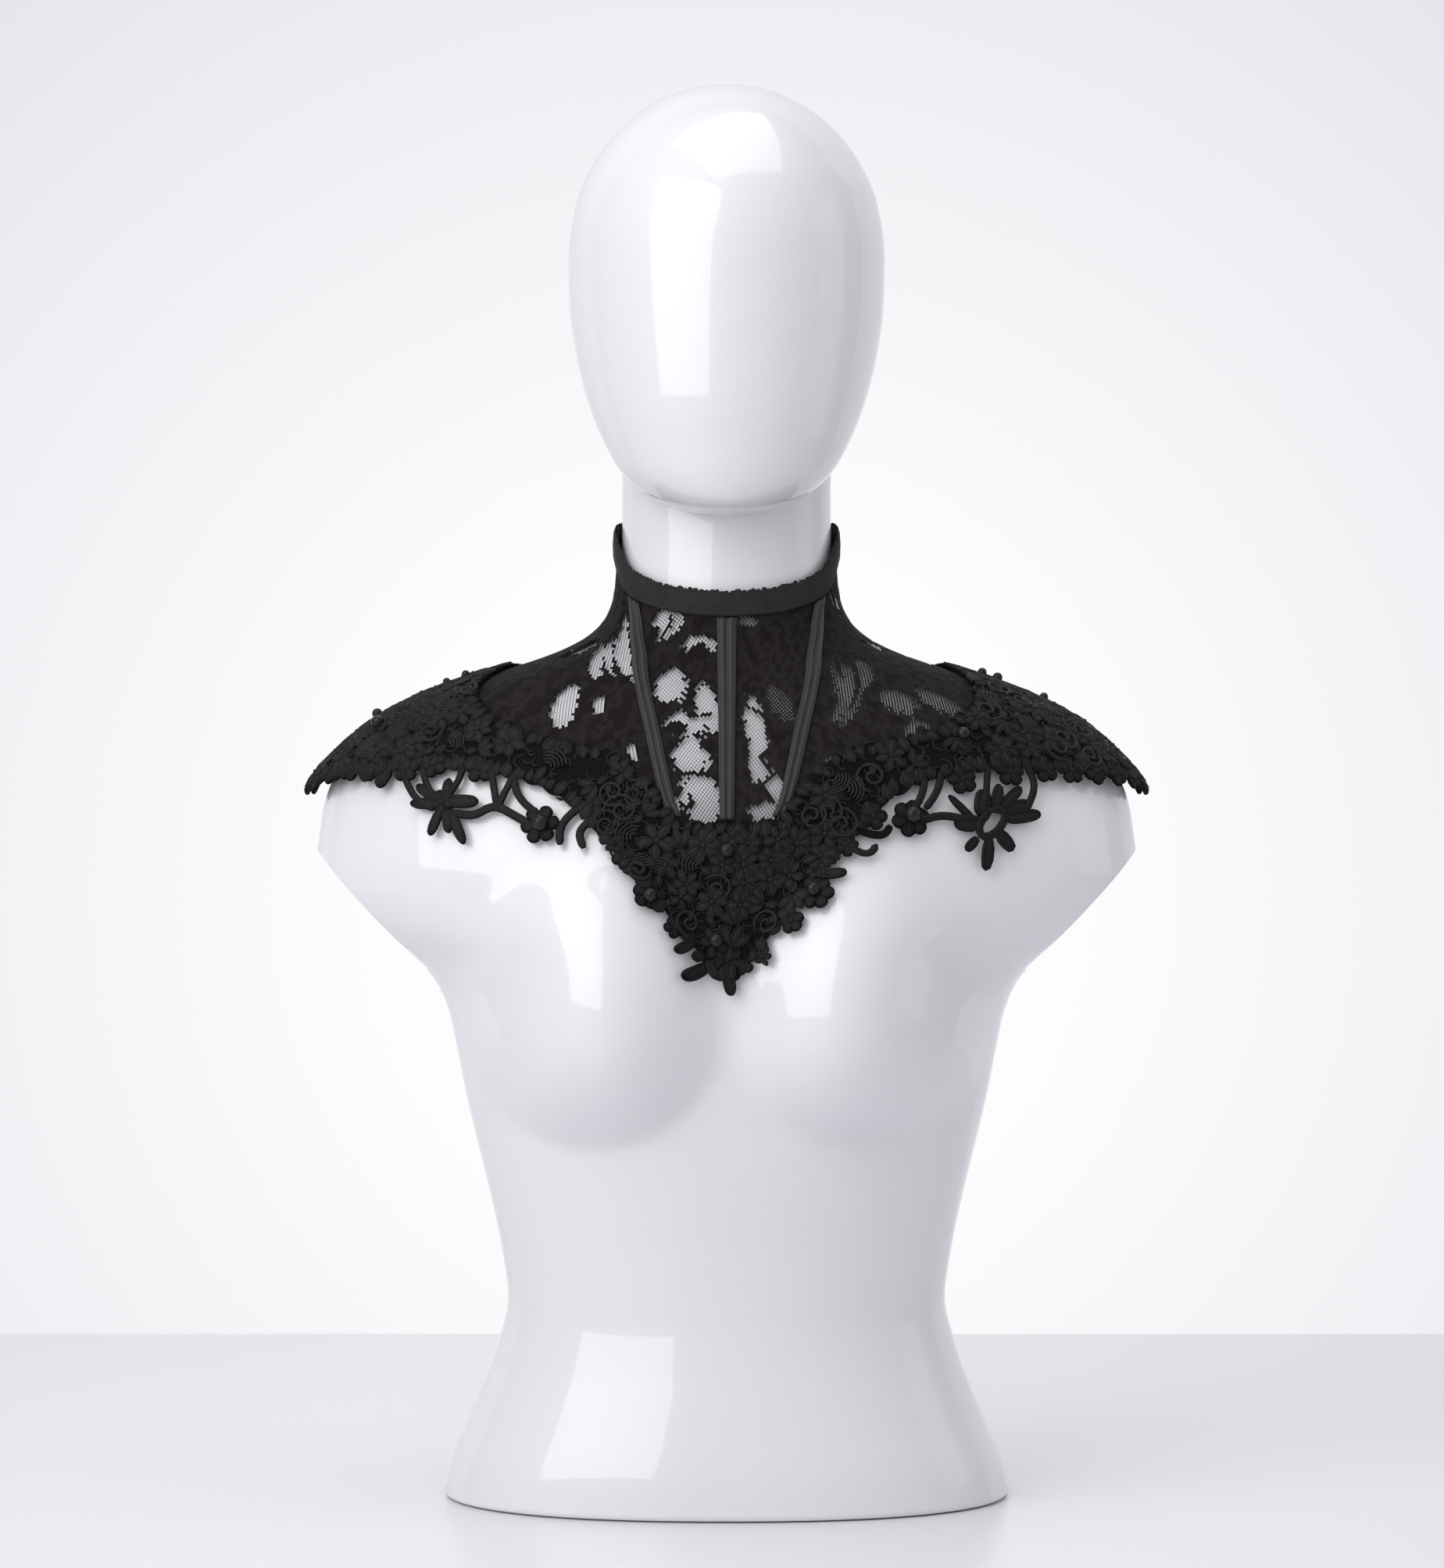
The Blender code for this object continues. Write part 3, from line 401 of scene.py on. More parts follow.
class Weave(Enum):
    """What breaks up the surface of a finish close to."""

    MOULDED = "moulded"
    NET = "net"
    SATIN = "satin"
    CORDED = "corded"
    PILE = "pile"
    SMOOTH = "smooth"


SHEEN_ROUGHNESS = 0.35
COAT_ROUGHNESS = 0.045
BUMP_STRENGTH = 0.9
# how much finer a wave texture runs than its scale says
WAVE_SCALE = 20
NET_TURNS = (0.785, -0.785)
SATIN_TURNS = (0.0, 1.571)


@dataclass(frozen=True)
class Finish:
    """One material of the piece, with its small-scale surface.

    The grain is the size in millimetres of what breaks the surface up, and the
    depth how far, in millimetres, it stands out. The low tone and shade colour
    is mixed in at the low points, where the mesh notes how far each point is
    raised: on the guipure cords it is painted shade that darkens the hollows
    below the raised rims, and on the net it lightens the strands and veins.
    """

    name: str
    slot: str
    colour: Colour
    shade: Colour
    roughness: float
    weave: Weave
    grain: float = 1.0
    depth: float = 0.05
    patch: float = 12.0
    sheen: float = 0.0
    sheen_colour: Colour = (1.0, 1.0, 1.0)
    coat: float = 0.0
    specular: float = 0.5
    # low tone and shade: painted shade that darkens the hollows of the guipure cords; on the net it lightens
    # the strands and veins
    low_tone_and_shade: Optional[Colour] = None

    def build(self) -> bpy.types.Material:
        """Makes the material with its nodes."""
        made = bpy.data.materials.new(self.name)
        made.use_nodes = True
        tree = made.node_tree
        shader = tree.nodes["Principled BSDF"]
        set_sockets(shader, {
            "Roughness": self.roughness,
            "Sheen Weight": self.sheen,
            "Sheen Roughness": SHEEN_ROUGHNESS,
            "Sheen Tint": (*self.sheen_colour, 1),
            "Coat Weight": self.coat,
            "Coat Roughness": COAT_ROUGHNESS,
            "Specular IOR Level": self.specular,
        })
        made.diffuse_color = (*self.colour, 1)
        where = tree.nodes.new("ShaderNodeTexCoord")
        self.mottle(tree, where, shader)
        bump = add_node(tree, "Bump", Distance=self.depth * MM, Strength=BUMP_STRENGTH)
        tree.links.new(self.surface_height(tree, where), bump.inputs["Height"])
        tree.links.new(bump.outputs["Normal"], shader.inputs["Normal"])
        return made

    def mottle(
        self, tree: bpy.types.NodeTree, where: bpy.types.Node, shader: bpy.types.Node,
    ) -> None:
        """Lets the colour wander between the two tones of the finish, and mixes the low tone and painted
        shade in at the low points.

        Args:
            tree: the material's nodes.
            where: the texture coordinates.
            shader: the node whose base colour is varied.
        """
        noise = add_node(tree, "TexNoise", Scale=1 / (self.patch * MM), Detail=5.0)
        mix = tree.nodes.new("ShaderNodeMix")
        mix.data_type = "RGBA"
        mix.inputs["A"].default_value = (*self.colour, 1)
        mix.inputs["B"].default_value = (*self.shade, 1)
        tree.links.new(where.outputs["Object"], noise.inputs["Vector"])
        tree.links.new(noise.outputs["Fac"], mix.inputs["Factor"])
        tree.links.new(mix.outputs["Result"], shader.inputs["Base Color"])
        # painted shade: the rise attribute mixes the low points towards the low tone, which darkens the
        # guipure cords' hollows and lightens the net's strands and veins
        if self.low_tone_and_shade:
            rise = tree.nodes.new("ShaderNodeAttribute")
            rise.attribute_name = "rise"
            raised = tree.nodes.new("ShaderNodeMix")
            raised.data_type = "RGBA"
            raised.inputs["A"].default_value = (*self.low_tone_and_shade, 1)
            tree.links.new(mix.outputs["Result"], raised.inputs["B"])
            tree.links.new(rise.outputs["Fac"], raised.inputs["Factor"])
            tree.links.new(raised.outputs["Result"], shader.inputs["Base Color"])

    def surface_height(
        self, tree: bpy.types.NodeTree, where: bpy.types.Node,
    ) -> bpy.types.NodeSocket:
        """The height pattern of the weave.

        Args:
            tree: the material's nodes.
            where: the texture coordinates.

        Returns:
            The socket with the height.
        """
        grain = 1 / (self.grain * MM)
        if self.weave in (Weave.NET, Weave.SATIN):
            net = self.weave is Weave.NET
            join = tree.nodes.new("ShaderNodeMath")
            join.operation = "MAXIMUM" if net else "MULTIPLY"
            for turn, socket in zip(NET_TURNS if net else SATIN_TURNS, join.inputs):
                lay = add_node(tree, "Mapping", Rotation=(0, 0, turn))
                wave = add_node(tree, "TexWave", Scale=grain / WAVE_SCALE, Distortion=1.5)
                tree.links.new(where.outputs["UV"], lay.inputs["Vector"])
                tree.links.new(lay.outputs["Vector"], wave.inputs["Vector"])
                tree.links.new(wave.outputs["Fac"], socket)
            return join.outputs["Value"]
        pile = self.weave is Weave.PILE
        noise = add_node(
            tree, "TexNoise", Scale=grain, Detail=6.0 if pile else 3.0,
            Roughness=0.65 if pile else 0.5,
        )
        tree.links.new(where.outputs["Object"], noise.inputs["Vector"])
        if self.weave is not Weave.CORDED:
            return noise.outputs["Fac"]
        wave = add_node(tree, "TexWave", Scale=grain / WAVE_SCALE, Distortion=6.0, Detail=3.0)
        wave.bands_direction = "DIAGONAL"
        tree.links.new(where.outputs["Object"], wave.inputs["Vector"])
        join = tree.nodes.new("ShaderNodeMath")
        tree.links.new(noise.outputs["Fac"], join.inputs[0])
        tree.links.new(wave.outputs["Fac"], join.inputs[1])
        return join.outputs["Value"]


GLOSS_WHITE = Finish(
    "gloss_white_shell", "form", (0.80, 0.785, 0.82), (0.83, 0.82, 0.845), 0.35, Weave.MOULDED,
    grain=60.0, depth=0.04, patch=160.0, coat=1.0,
)
BLACK_NET = Finish(
    "black_net_lace", "lace", (0.006, 0.005, 0.005), (0.017, 0.013, 0.013), 0.85, Weave.NET,
    grain=0.9, depth=0.12, patch=5.0, sheen=0.04, specular=0.08, low_tone_and_shade=(0.019, 0.016, 0.017),
)
# the ground is the lace's own black, coloured darker than the cords as painted shade between them
GUIPURE_BASE = Finish(
    "guipure_ground", "corded_lace", (0.005, 0.004, 0.004), (0.010, 0.008, 0.007), 0.85,
    Weave.CORDED, grain=0.9, depth=0.12, patch=5.0, sheen=0.02, specular=0.06,
)
# its low tone is painted shade: it darkens the hollows of the cords below their raised rims
GUIPURE_CORD = Finish(
    "guipure_cord", "corded_lace", (0.0085, 0.0074, 0.0070), (0.019, 0.0162, 0.0148), 0.56,
    Weave.CORDED, grain=0.5, depth=0.08, patch=4.0, sheen=0.05, sheen_colour=(0.9, 0.85, 0.83), specular=0.2,
    low_tone_and_shade=(0.003, 0.0025, 0.0022),
)
SATIN = Finish(
    "charcoal_satin", "ribbon", (0.025, 0.0235, 0.024), (0.045, 0.041, 0.043), 0.46, Weave.SATIN,
    grain=0.45, depth=0.04, patch=18.0, sheen=0.12, specular=0.3,
)
MATT_BAND = Finish(
    "matt_stretch_band", "ribbon", (0.017, 0.0155, 0.0155), (0.034, 0.031, 0.030), 0.75,
    Weave.SATIN, grain=0.6, depth=0.08, patch=7.0, sheen=0.09, specular=0.15,
)
THREAD = Finish(
    "black_thread", "ribbon", (0.012, 0.012, 0.012), (0.022, 0.022, 0.022), 0.6, Weave.PILE,
    grain=0.3, depth=0.03, patch=3.0, sheen=0.08, specular=0.2,
)
PEARL = Finish(
    "dark_pearl", "pearl", (0.010, 0.009, 0.011), (0.018, 0.017, 0.020), 0.22, Weave.SMOOTH,
    grain=3.0, depth=0.01, patch=4.0, specular=0.26,
)
BLACK_WIRE = Finish(
    "black_wire", "metal", (0.02, 0.02, 0.02), (0.03, 0.03, 0.03), 0.35, Weave.SMOOTH,
    grain=1.0, depth=0.01, patch=5.0, coat=0.4,
)


class Workshop:
    """Makes finished objects from meshes and keeps one material of each finish."""

    def __init__(self) -> None:
        """Starts with no material made."""
        self.made: dict[str, bpy.types.Material] = {}

    def material(self, finish: Finish) -> bpy.types.Material:
        """The material of a finish, made at its first use."""
        if finish.name not in self.made:
            self.made[finish.name] = finish.build()
        return self.made[finish.name]

    def dress(self, mesh: bpy.types.Mesh, finish: Finish, *stands_for: str) -> bpy.types.Object:
        """Makes the object of one piece.

        Args:
            mesh: the mesh, in place, in metres.
            finish: its finish.
            stands_for: the solids that it is shown in place of.

        Returns:
            The object, which rides on the part.
        """
        mesh.materials.append(self.material(finish))
        mesh.shade_smooth()
        piece = add_object(mesh.name, mesh)
        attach(piece, "root")
        if stands_for:
            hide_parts(*stands_for)
        mesh.calc_loop_triangles()
        spots = np.array([vert.co for vert in mesh.vertices])
        log.info(
            "%s: %d triangles, from %s to %s mm", mesh.name, len(mesh.loop_triangles),
            (spots.min(axis=0) / MM).round(1), (spots.max(axis=0) / MM).round(1),
        )
        return piece


def mesh_of(shape: bmesh.types.BMesh, name: str, outward: bool = False) -> bpy.types.Mesh:
    """Turns a bmesh into a mesh and frees it.

    Args:
        shape: the bmesh.
        name: the mesh's name.
        outward: whether its faces are first turned outwards.

    Returns:
        The mesh.
    """
    if outward:
        bmesh.ops.recalc_face_normals(shape, faces=shape.faces)
        if shape.calc_volume(signed=True) < 0:
            bmesh.ops.reverse_faces(shape, faces=shape.faces)
    mesh = bpy.data.meshes.new(name)
    shape.to_mesh(mesh)
    shape.free()
    return mesh


def note_rise(mesh: bpy.types.Mesh, rise: np.ndarray) -> None:
    """Notes how far each point is raised, from 0 to 1, for the finish to read."""
    # the guipure cord finish paints shade into the low points from this rise
    mesh.attributes.new("rise", "FLOAT", "POINT").data.foreach_set(
        "value", rise.astype(np.float32)
    )


def evaluated_mesh(piece: bpy.types.Object, name: str) -> bpy.types.Mesh:
    """The mesh of an object with its modifiers worked in."""
    bpy.context.view_layer.update()
    graph = bpy.context.evaluated_depsgraph_get()
    mesh = bpy.data.meshes.new_from_object(piece.evaluated_get(graph))
    mesh.name = name
    return mesh


@dataclass
class DisplayForm:
    """The armless torso with its blank egg head, in one glossy shell."""

    columns: int = 156
    rows: int = 190
    head_columns: int = 96
    head_rows: int = 72
    base_round: float = 2.6
    cut_round: float = 1.6
    armpit: tuple[float, float] = (236.0, 300.0)
    armpit_passes: int = 36
    arm_margin: float = 60.0
    arm_depth: float = 300.0
    rim_angle: float = 0.6
    smooth_angle: float = math.radians(35)

    def torso(self) -> bmesh.types.BMesh:
        """The torso and neck as a closed body with whole shoulders."""
        shape = bmesh.new()
        bmesh.ops.create_grid(shape, x_segments=self.columns, y_segments=self.rows, size=0.5)
        spots = np.array([vert.co for vert in shape.verts])
        runs, _ = table_columns(BODY_SECTIONS)
        turn = (spots[:, 0] + 0.5) * 2 * math.pi
        points = body_points(turn, (spots[:, 1] + 0.5) * runs[-1])
        points = self.eased(points.reshape(self.rows + 1, self.columns + 1, 3))
        for vert, point in zip(shape.verts, points.reshape(-1, 3)):
            vert.co = Vector(point + (0, SHIFT_Y, 0)) * MM
        bmesh.ops.remove_doubles(shape, verts=shape.verts, dist=1e-6)
        open_edges = [edge for edge in shape.edges if edge.is_boundary]
        bmesh.ops.holes_fill(shape, edges=open_edges, sides=0)
        return shape

    def eased(self, points: np.ndarray) -> np.ndarray:
        """Rounds the armpits off by blending neighbouring rows.

        Args:
            points: the torso's grid of points in millimetres.

        Returns:
            The grid, softer between the two armpit heights.
        """
        low, high = self.armpit
        for _ in range(self.armpit_passes):
            near = np.minimum(points[..., 2] - low, high - points[..., 2])[1:-1, :, None]
            mean = (points[:-2] + points[2:]) / 2
            points[1:-1] += (mean - points[1:-1]) * np.clip(near / 12, 0, 1) / 2
        return points

    def arm_block(self, side: int) -> bpy.types.Object:
        """A block whose inner face lies where one arm is cut off.

        Args:
            side: -1 for the left of the picture, 1 for the right.

        Returns:
            A passing object for the cut.
        """
        top, bottom = np.array(ARM_CUT_TOP), np.array(ARM_CUT_BOTTOM)
        along = (top - bottom) / np.linalg.norm(top - bottom)
        away = np.array([along[1], -along[0]])
        middle = (bottom + top + (along + away) * self.arm_margin) / 2
        length = np.linalg.norm(top - bottom) + self.arm_margin
        shape = bmesh.new()
        bmesh.ops.create_cube(shape, size=1.0)
        bmesh.ops.scale(
            shape, verts=shape.verts, vec=Vector((self.arm_margin, self.arm_depth, length)) * MM
        )
        lean = Matrix.Rotation(side * math.atan2(along[0], along[1]), 4, "Y")
        bmesh.ops.rotate(shape, verts=shape.verts, matrix=lean, cent=(0, 0, 0))
        move = Vector((side * middle[0], SHIFT_Y, middle[1])) * MM
        bmesh.ops.translate(shape, verts=shape.verts, vec=move)
        return add_object("arm_block", mesh_of(shape, "arm_block", outward=True))

    def cut_torso(self) -> bpy.types.Mesh:
        """The torso with both arms cut off and its sharp rims eased."""
        whole = add_object("torso", mesh_of(self.torso(), "torso", outward=True))
        blocks = [self.arm_block(side) for side in (-1, 1)]
        for block in blocks:
            cut = whole.modifiers.new(block.name, "BOOLEAN")
            cut.operation = "DIFFERENCE"
            cut.solver = "EXACT"
            cut.object = block
        mesh = evaluated_mesh(whole, "form_torso")
        for passing in (whole, *blocks):
            bpy.data.objects.remove(passing)
        shape = bmesh.new()
        shape.from_mesh(mesh)
        bpy.data.meshes.remove(mesh)
        rim = [
            e
            for e in shape.edges
            if len(e.link_faces) == 2 and e.calc_face_angle() > self.rim_angle
        ]
        low = [e for e in rim if max(v.co.z for v in e.verts) < 2 * MM]
        arm = [e for e in rim if 0.25 < e.verts[0].co.z < 0.33 and abs(e.verts[0].co.x) > 0.13]
        for edges, size in ((low, self.base_round), (arm, self.cut_round)):
            bmesh.ops.bevel(
                shape, geom=edges, offset=size * MM, segments=3, profile=0.5,
                affect="EDGES", material=-1, clamp_overlap=True,
            )
        made = mesh_of(shape, "form_torso")
        made.set_sharp_from_angle(angle=self.smooth_angle)
        return made

    def head(self) -> bpy.types.Mesh:
        """The blank egg head."""
        shape = bmesh.new()
        bmesh.ops.create_uvsphere(
            shape, u_segments=self.head_columns, v_segments=self.head_rows, radius=1.0
        )
        runs, columns = table_columns(HEAD_SECTIONS)
        for vert in shape.verts:
            up = math.acos(max(-1.0, min(1.0, -vert.co.z))) / math.pi
            turn = math.atan2(vert.co.x, -vert.co.y)
            run = up * runs[-1]
            z, half, front, back = (smooth_between(runs, column, run) for column in columns)
            depth = (back - front) / 2
            vert.co = Vector((
                half * math.sin(turn), (front + back) / 2 - depth * math.cos(turn) + SHIFT_Y, z
            )) * MM
        return mesh_of(shape, "form_head", outward=True)

    def build(self, shop: Workshop) -> list[bpy.types.Object]:
        """Makes the form.

        Args:
            shop: where the finishes come from.

        Returns:
            The torso and the head.
        """
        torso = shop.dress(self.cut_torso(), GLOSS_WHITE, "display_form")
        torso.data.set_sharp_from_angle(angle=self.smooth_angle)
        return [torso, shop.dress(self.head(), GLOSS_WHITE)]


class Net(Enum):
    """How open a cell of the lace is, as half the width of its strands in mm."""

    OPEN = 0.135
    THICK = 0.38
    VEIN = -1.0
    CLOSED = 0.0


@dataclass(frozen=True)
class Window:
    """A patch of bare net among the woven motifs."""

    angle: float
    path: float
    half_across: float
    half_down: float
    turn: float = 0.0
    net: Net = Net.OPEN


WINDOWS = tuple(
    Window(*row) for row in (
        (-27.5, 18.5, 7.6, 9, 14), (-31.5, 26, 3.2, 5, 0, Net.CLOSED), (-9.5, 27.5, 8.2, 5.6, 0),
        (-9.5, 31, 5.2, 5.2, 0, Net.CLOSED), (-11.8, 52.2, 7.8, 10, -12),
        (-18, 46, 3, 3, 0, Net.CLOSED), (-3.4, 62, 5.4, 16, -22), (-6.4, 72.5, 10.2, 7.4, -16),
        (-8.2, 76.4, 5.6, 3.8, -16, Net.CLOSED), (-5, 90, 9.4, 10.4, 8),
        (-2.8, 83.5, 3.8, 4.4, 0, Net.CLOSED), (-3.6, 113, 9.2, 15.5, -18), (-7.2, 123, 2.6, 9, 0),
        (-30.4, 83, 6.2, 14.5, -28), (-27.6, 73.5, 2.8, 5, -20, Net.CLOSED),
        (-41, 51.5, 3.9, 13.5, -40), (-42, 44, 1.9, 15, -44), (-39.5, 38, 4, 22, -43),
        (-61, 52, 4.4, 9.5, 0), (-23.4, 75, 3, 6, -25), (-14, 94, 2, 5.4, -33),
        (9.2, 14.6, 5.4, 2.6, 8), (4.6, 72, 5.2, 17, 0), (4.2, 92, 4, 13, 6),
        (9.6, 62, 5.2, 13, -10, Net.THICK), (6.6, 107, 4.6, 15, -20), (5, 120, 7, 4.6, 0),
        (8.6, 93, 2.4, 8, 0, Net.CLOSED), (26.5, 63, 6.6, 21, 27, Net.THICK),
        (35.4, 60, 4.6, 13.5, 42, Net.THICK), (31, 62, 1.4, 17, 34, Net.CLOSED),
        (33.2, 84, 7.6, 10, -20, Net.THICK), (42.6, 95, 6.2, 13, -12, Net.THICK),
        (31.4, 103, 7, 6.4, 0, Net.THICK), (31.8, 103.4, 2.6, 2.2, 0, Net.CLOSED),
        (14.8, 98.6, 4.8, 1.6, 0, Net.THICK), (67, 52, 3.6, 9.5, -12), (69, 22, 3.2, 6, 0),
        (100, 44, 8, 11, 15), (128, 40, 9, 12, -12), (152, 42, 8, 13, 8), (112, 74, 12, 8, 20),
        (140, 70, 11, 9, -15), (164, 68, 6, 8, 0), (-98, 46, 8, 11, -15), (-126, 40, 9, 12, 12),
        (-150, 43, 8, 13, -8), (-114, 73, 12, 8, -20), (-141, 71, 11, 9, 15), (-163, 67, 6, 8, 0),
    )
)
# a woven stem across the windows: its width, and the places that it runs through
STEMS = (
    (2.4, ((-3.0, 66), (-5.4, 68), (-7.0, 66))),
    (2.6, ((-9.6, 106), (-6.4, 101), (-3.2, 99.5), (-1.0, 101))),
    (2.0, ((-6.5, 124), (-4.6, 116), (-5.2, 111))),
    (2.2, ((6.0, 76), (7.2, 84), (5.0, 92), (6.4, 101), (4.0, 110))),
    (1.8, ((3.0, 60), (5.6, 66), (6.6, 74))),
    (2.4, ((34, 46), (30, 52), (27.5, 57))),
    (1.6, ((37.6, 80), (38.0, 88), (37.4, 97))),
    (1.6, ((-27, 14), (-25.5, 20), (-27, 27))),
)


class LaceDesign:
    """Where the woven motifs of the net lace lie."""

    FLOWER_STEP = 19.0
    FLOWER_RADIUS = 8.0

    def __init__(self, surface: Surface) -> None:
        """Keeps the surface that the places lie on."""
        self.surface = surface

    def curl(self, across: np.ndarray, down: np.ndarray) -> np.ndarray:
        """An uneven edge for a window, from local millimetres."""
        return (
            0.13 * np.sin(0.9 * across + 0.6 * down)
            + 0.10 * np.sin(1.7 * down - 0.8 * across + 1.0)
            + 0.06 * np.sin(2.9 * across + 1.3)
        )

    def near_stem(self, angle: np.ndarray, path: np.ndarray) -> np.ndarray:
        """Which places lie on one of the woven stems."""
        found = np.zeros(len(angle), bool)
        for width, route in STEMS:
            centre = route[len(route) // 2]
            across, down = self.surface.local(centre, angle, path)
            places = np.array(route, float)
            u, v = self.surface.local(centre, places[:, 0], places[:, 1])
            for i in range(len(route) - 1):
                step = np.array([u[i + 1] - u[i], v[i + 1] - v[i]])
                share = ((across - u[i]) * step[0] + (down - v[i]) * step[1]) / (step @ step)
                share = np.clip(share, 0, 1)
                gap = np.hypot(across - u[i] - share * step[0], down - v[i] - share * step[1])
                found |= gap + 2.2 * self.curl(across, down) < width / 2
        return found

    def veins(self, angle: np.ndarray, path: np.ndarray) -> np.ndarray:
        """Which places lie on the thin lines between the woven petals."""
        found = np.zeros(len(angle), bool)
        row = 0
        for centre_path in np.arange(8.0, 150.0, self.FLOWER_STEP * 0.82):
            row += 1
            centre = angle.min() + (3.0 if row % 2 else 0.0)
            while centre < angle.max() + 4:
                place = (float(np.clip(centre, -Surface.FARTHEST, Surface.FARTHEST)), centre_path)
                across, down = self.surface.local(place, angle, path)
                away = np.hypot(across, down)
                turn = np.arctan2(across, down) + row * 0.7 + centre * 0.11
                edge = self.FLOWER_RADIUS * (0.78 + 0.22 * np.cos(5 * turn))
                found |= (np.abs(away - edge) < 0.75) & (away < 12)
                between = (away < edge) & (away > 2.2)
                found |= between & (np.abs(np.sin(2.5 * turn + math.pi / 2)) * away < 0.7)
                centre += self.FLOWER_STEP / float(self.surface.steps(*place)[0])
        return found

    def nets(self, angle: np.ndarray, path: np.ndarray) -> np.ndarray:
        """What each cell of the lace is.

        Args:
            angle: the cells' angles.
            path: the cells' paths.

        Returns:
            Half the width of each cell's strands, and 0 for a closed cell.
        """
        veins = self.veins(angle, path)
        cells = np.where(veins, Net.VEIN.value, Net.CLOSED.value)
        for window in WINDOWS:
            near = (np.abs(angle - window.angle) < 40) & (np.abs(path - window.path) < 60)
            if not near.any():
                continue
            across, down = self.surface.local((window.angle, window.path), angle, path)
            u, v = turned(across, down, window.turn)
            reach = np.hypot(u / window.half_across, v / window.half_down)
            cells[near & (reach + self.curl(across, down) < 1)] = window.net.value
        cells[self.near_stem(angle, path)] = Net.CLOSED.value
        covered = path > on_table(APPLIQUE_EDGES, np.abs(angle)) + 5
        cells[covered] = Net.CLOSED.value
        return cells


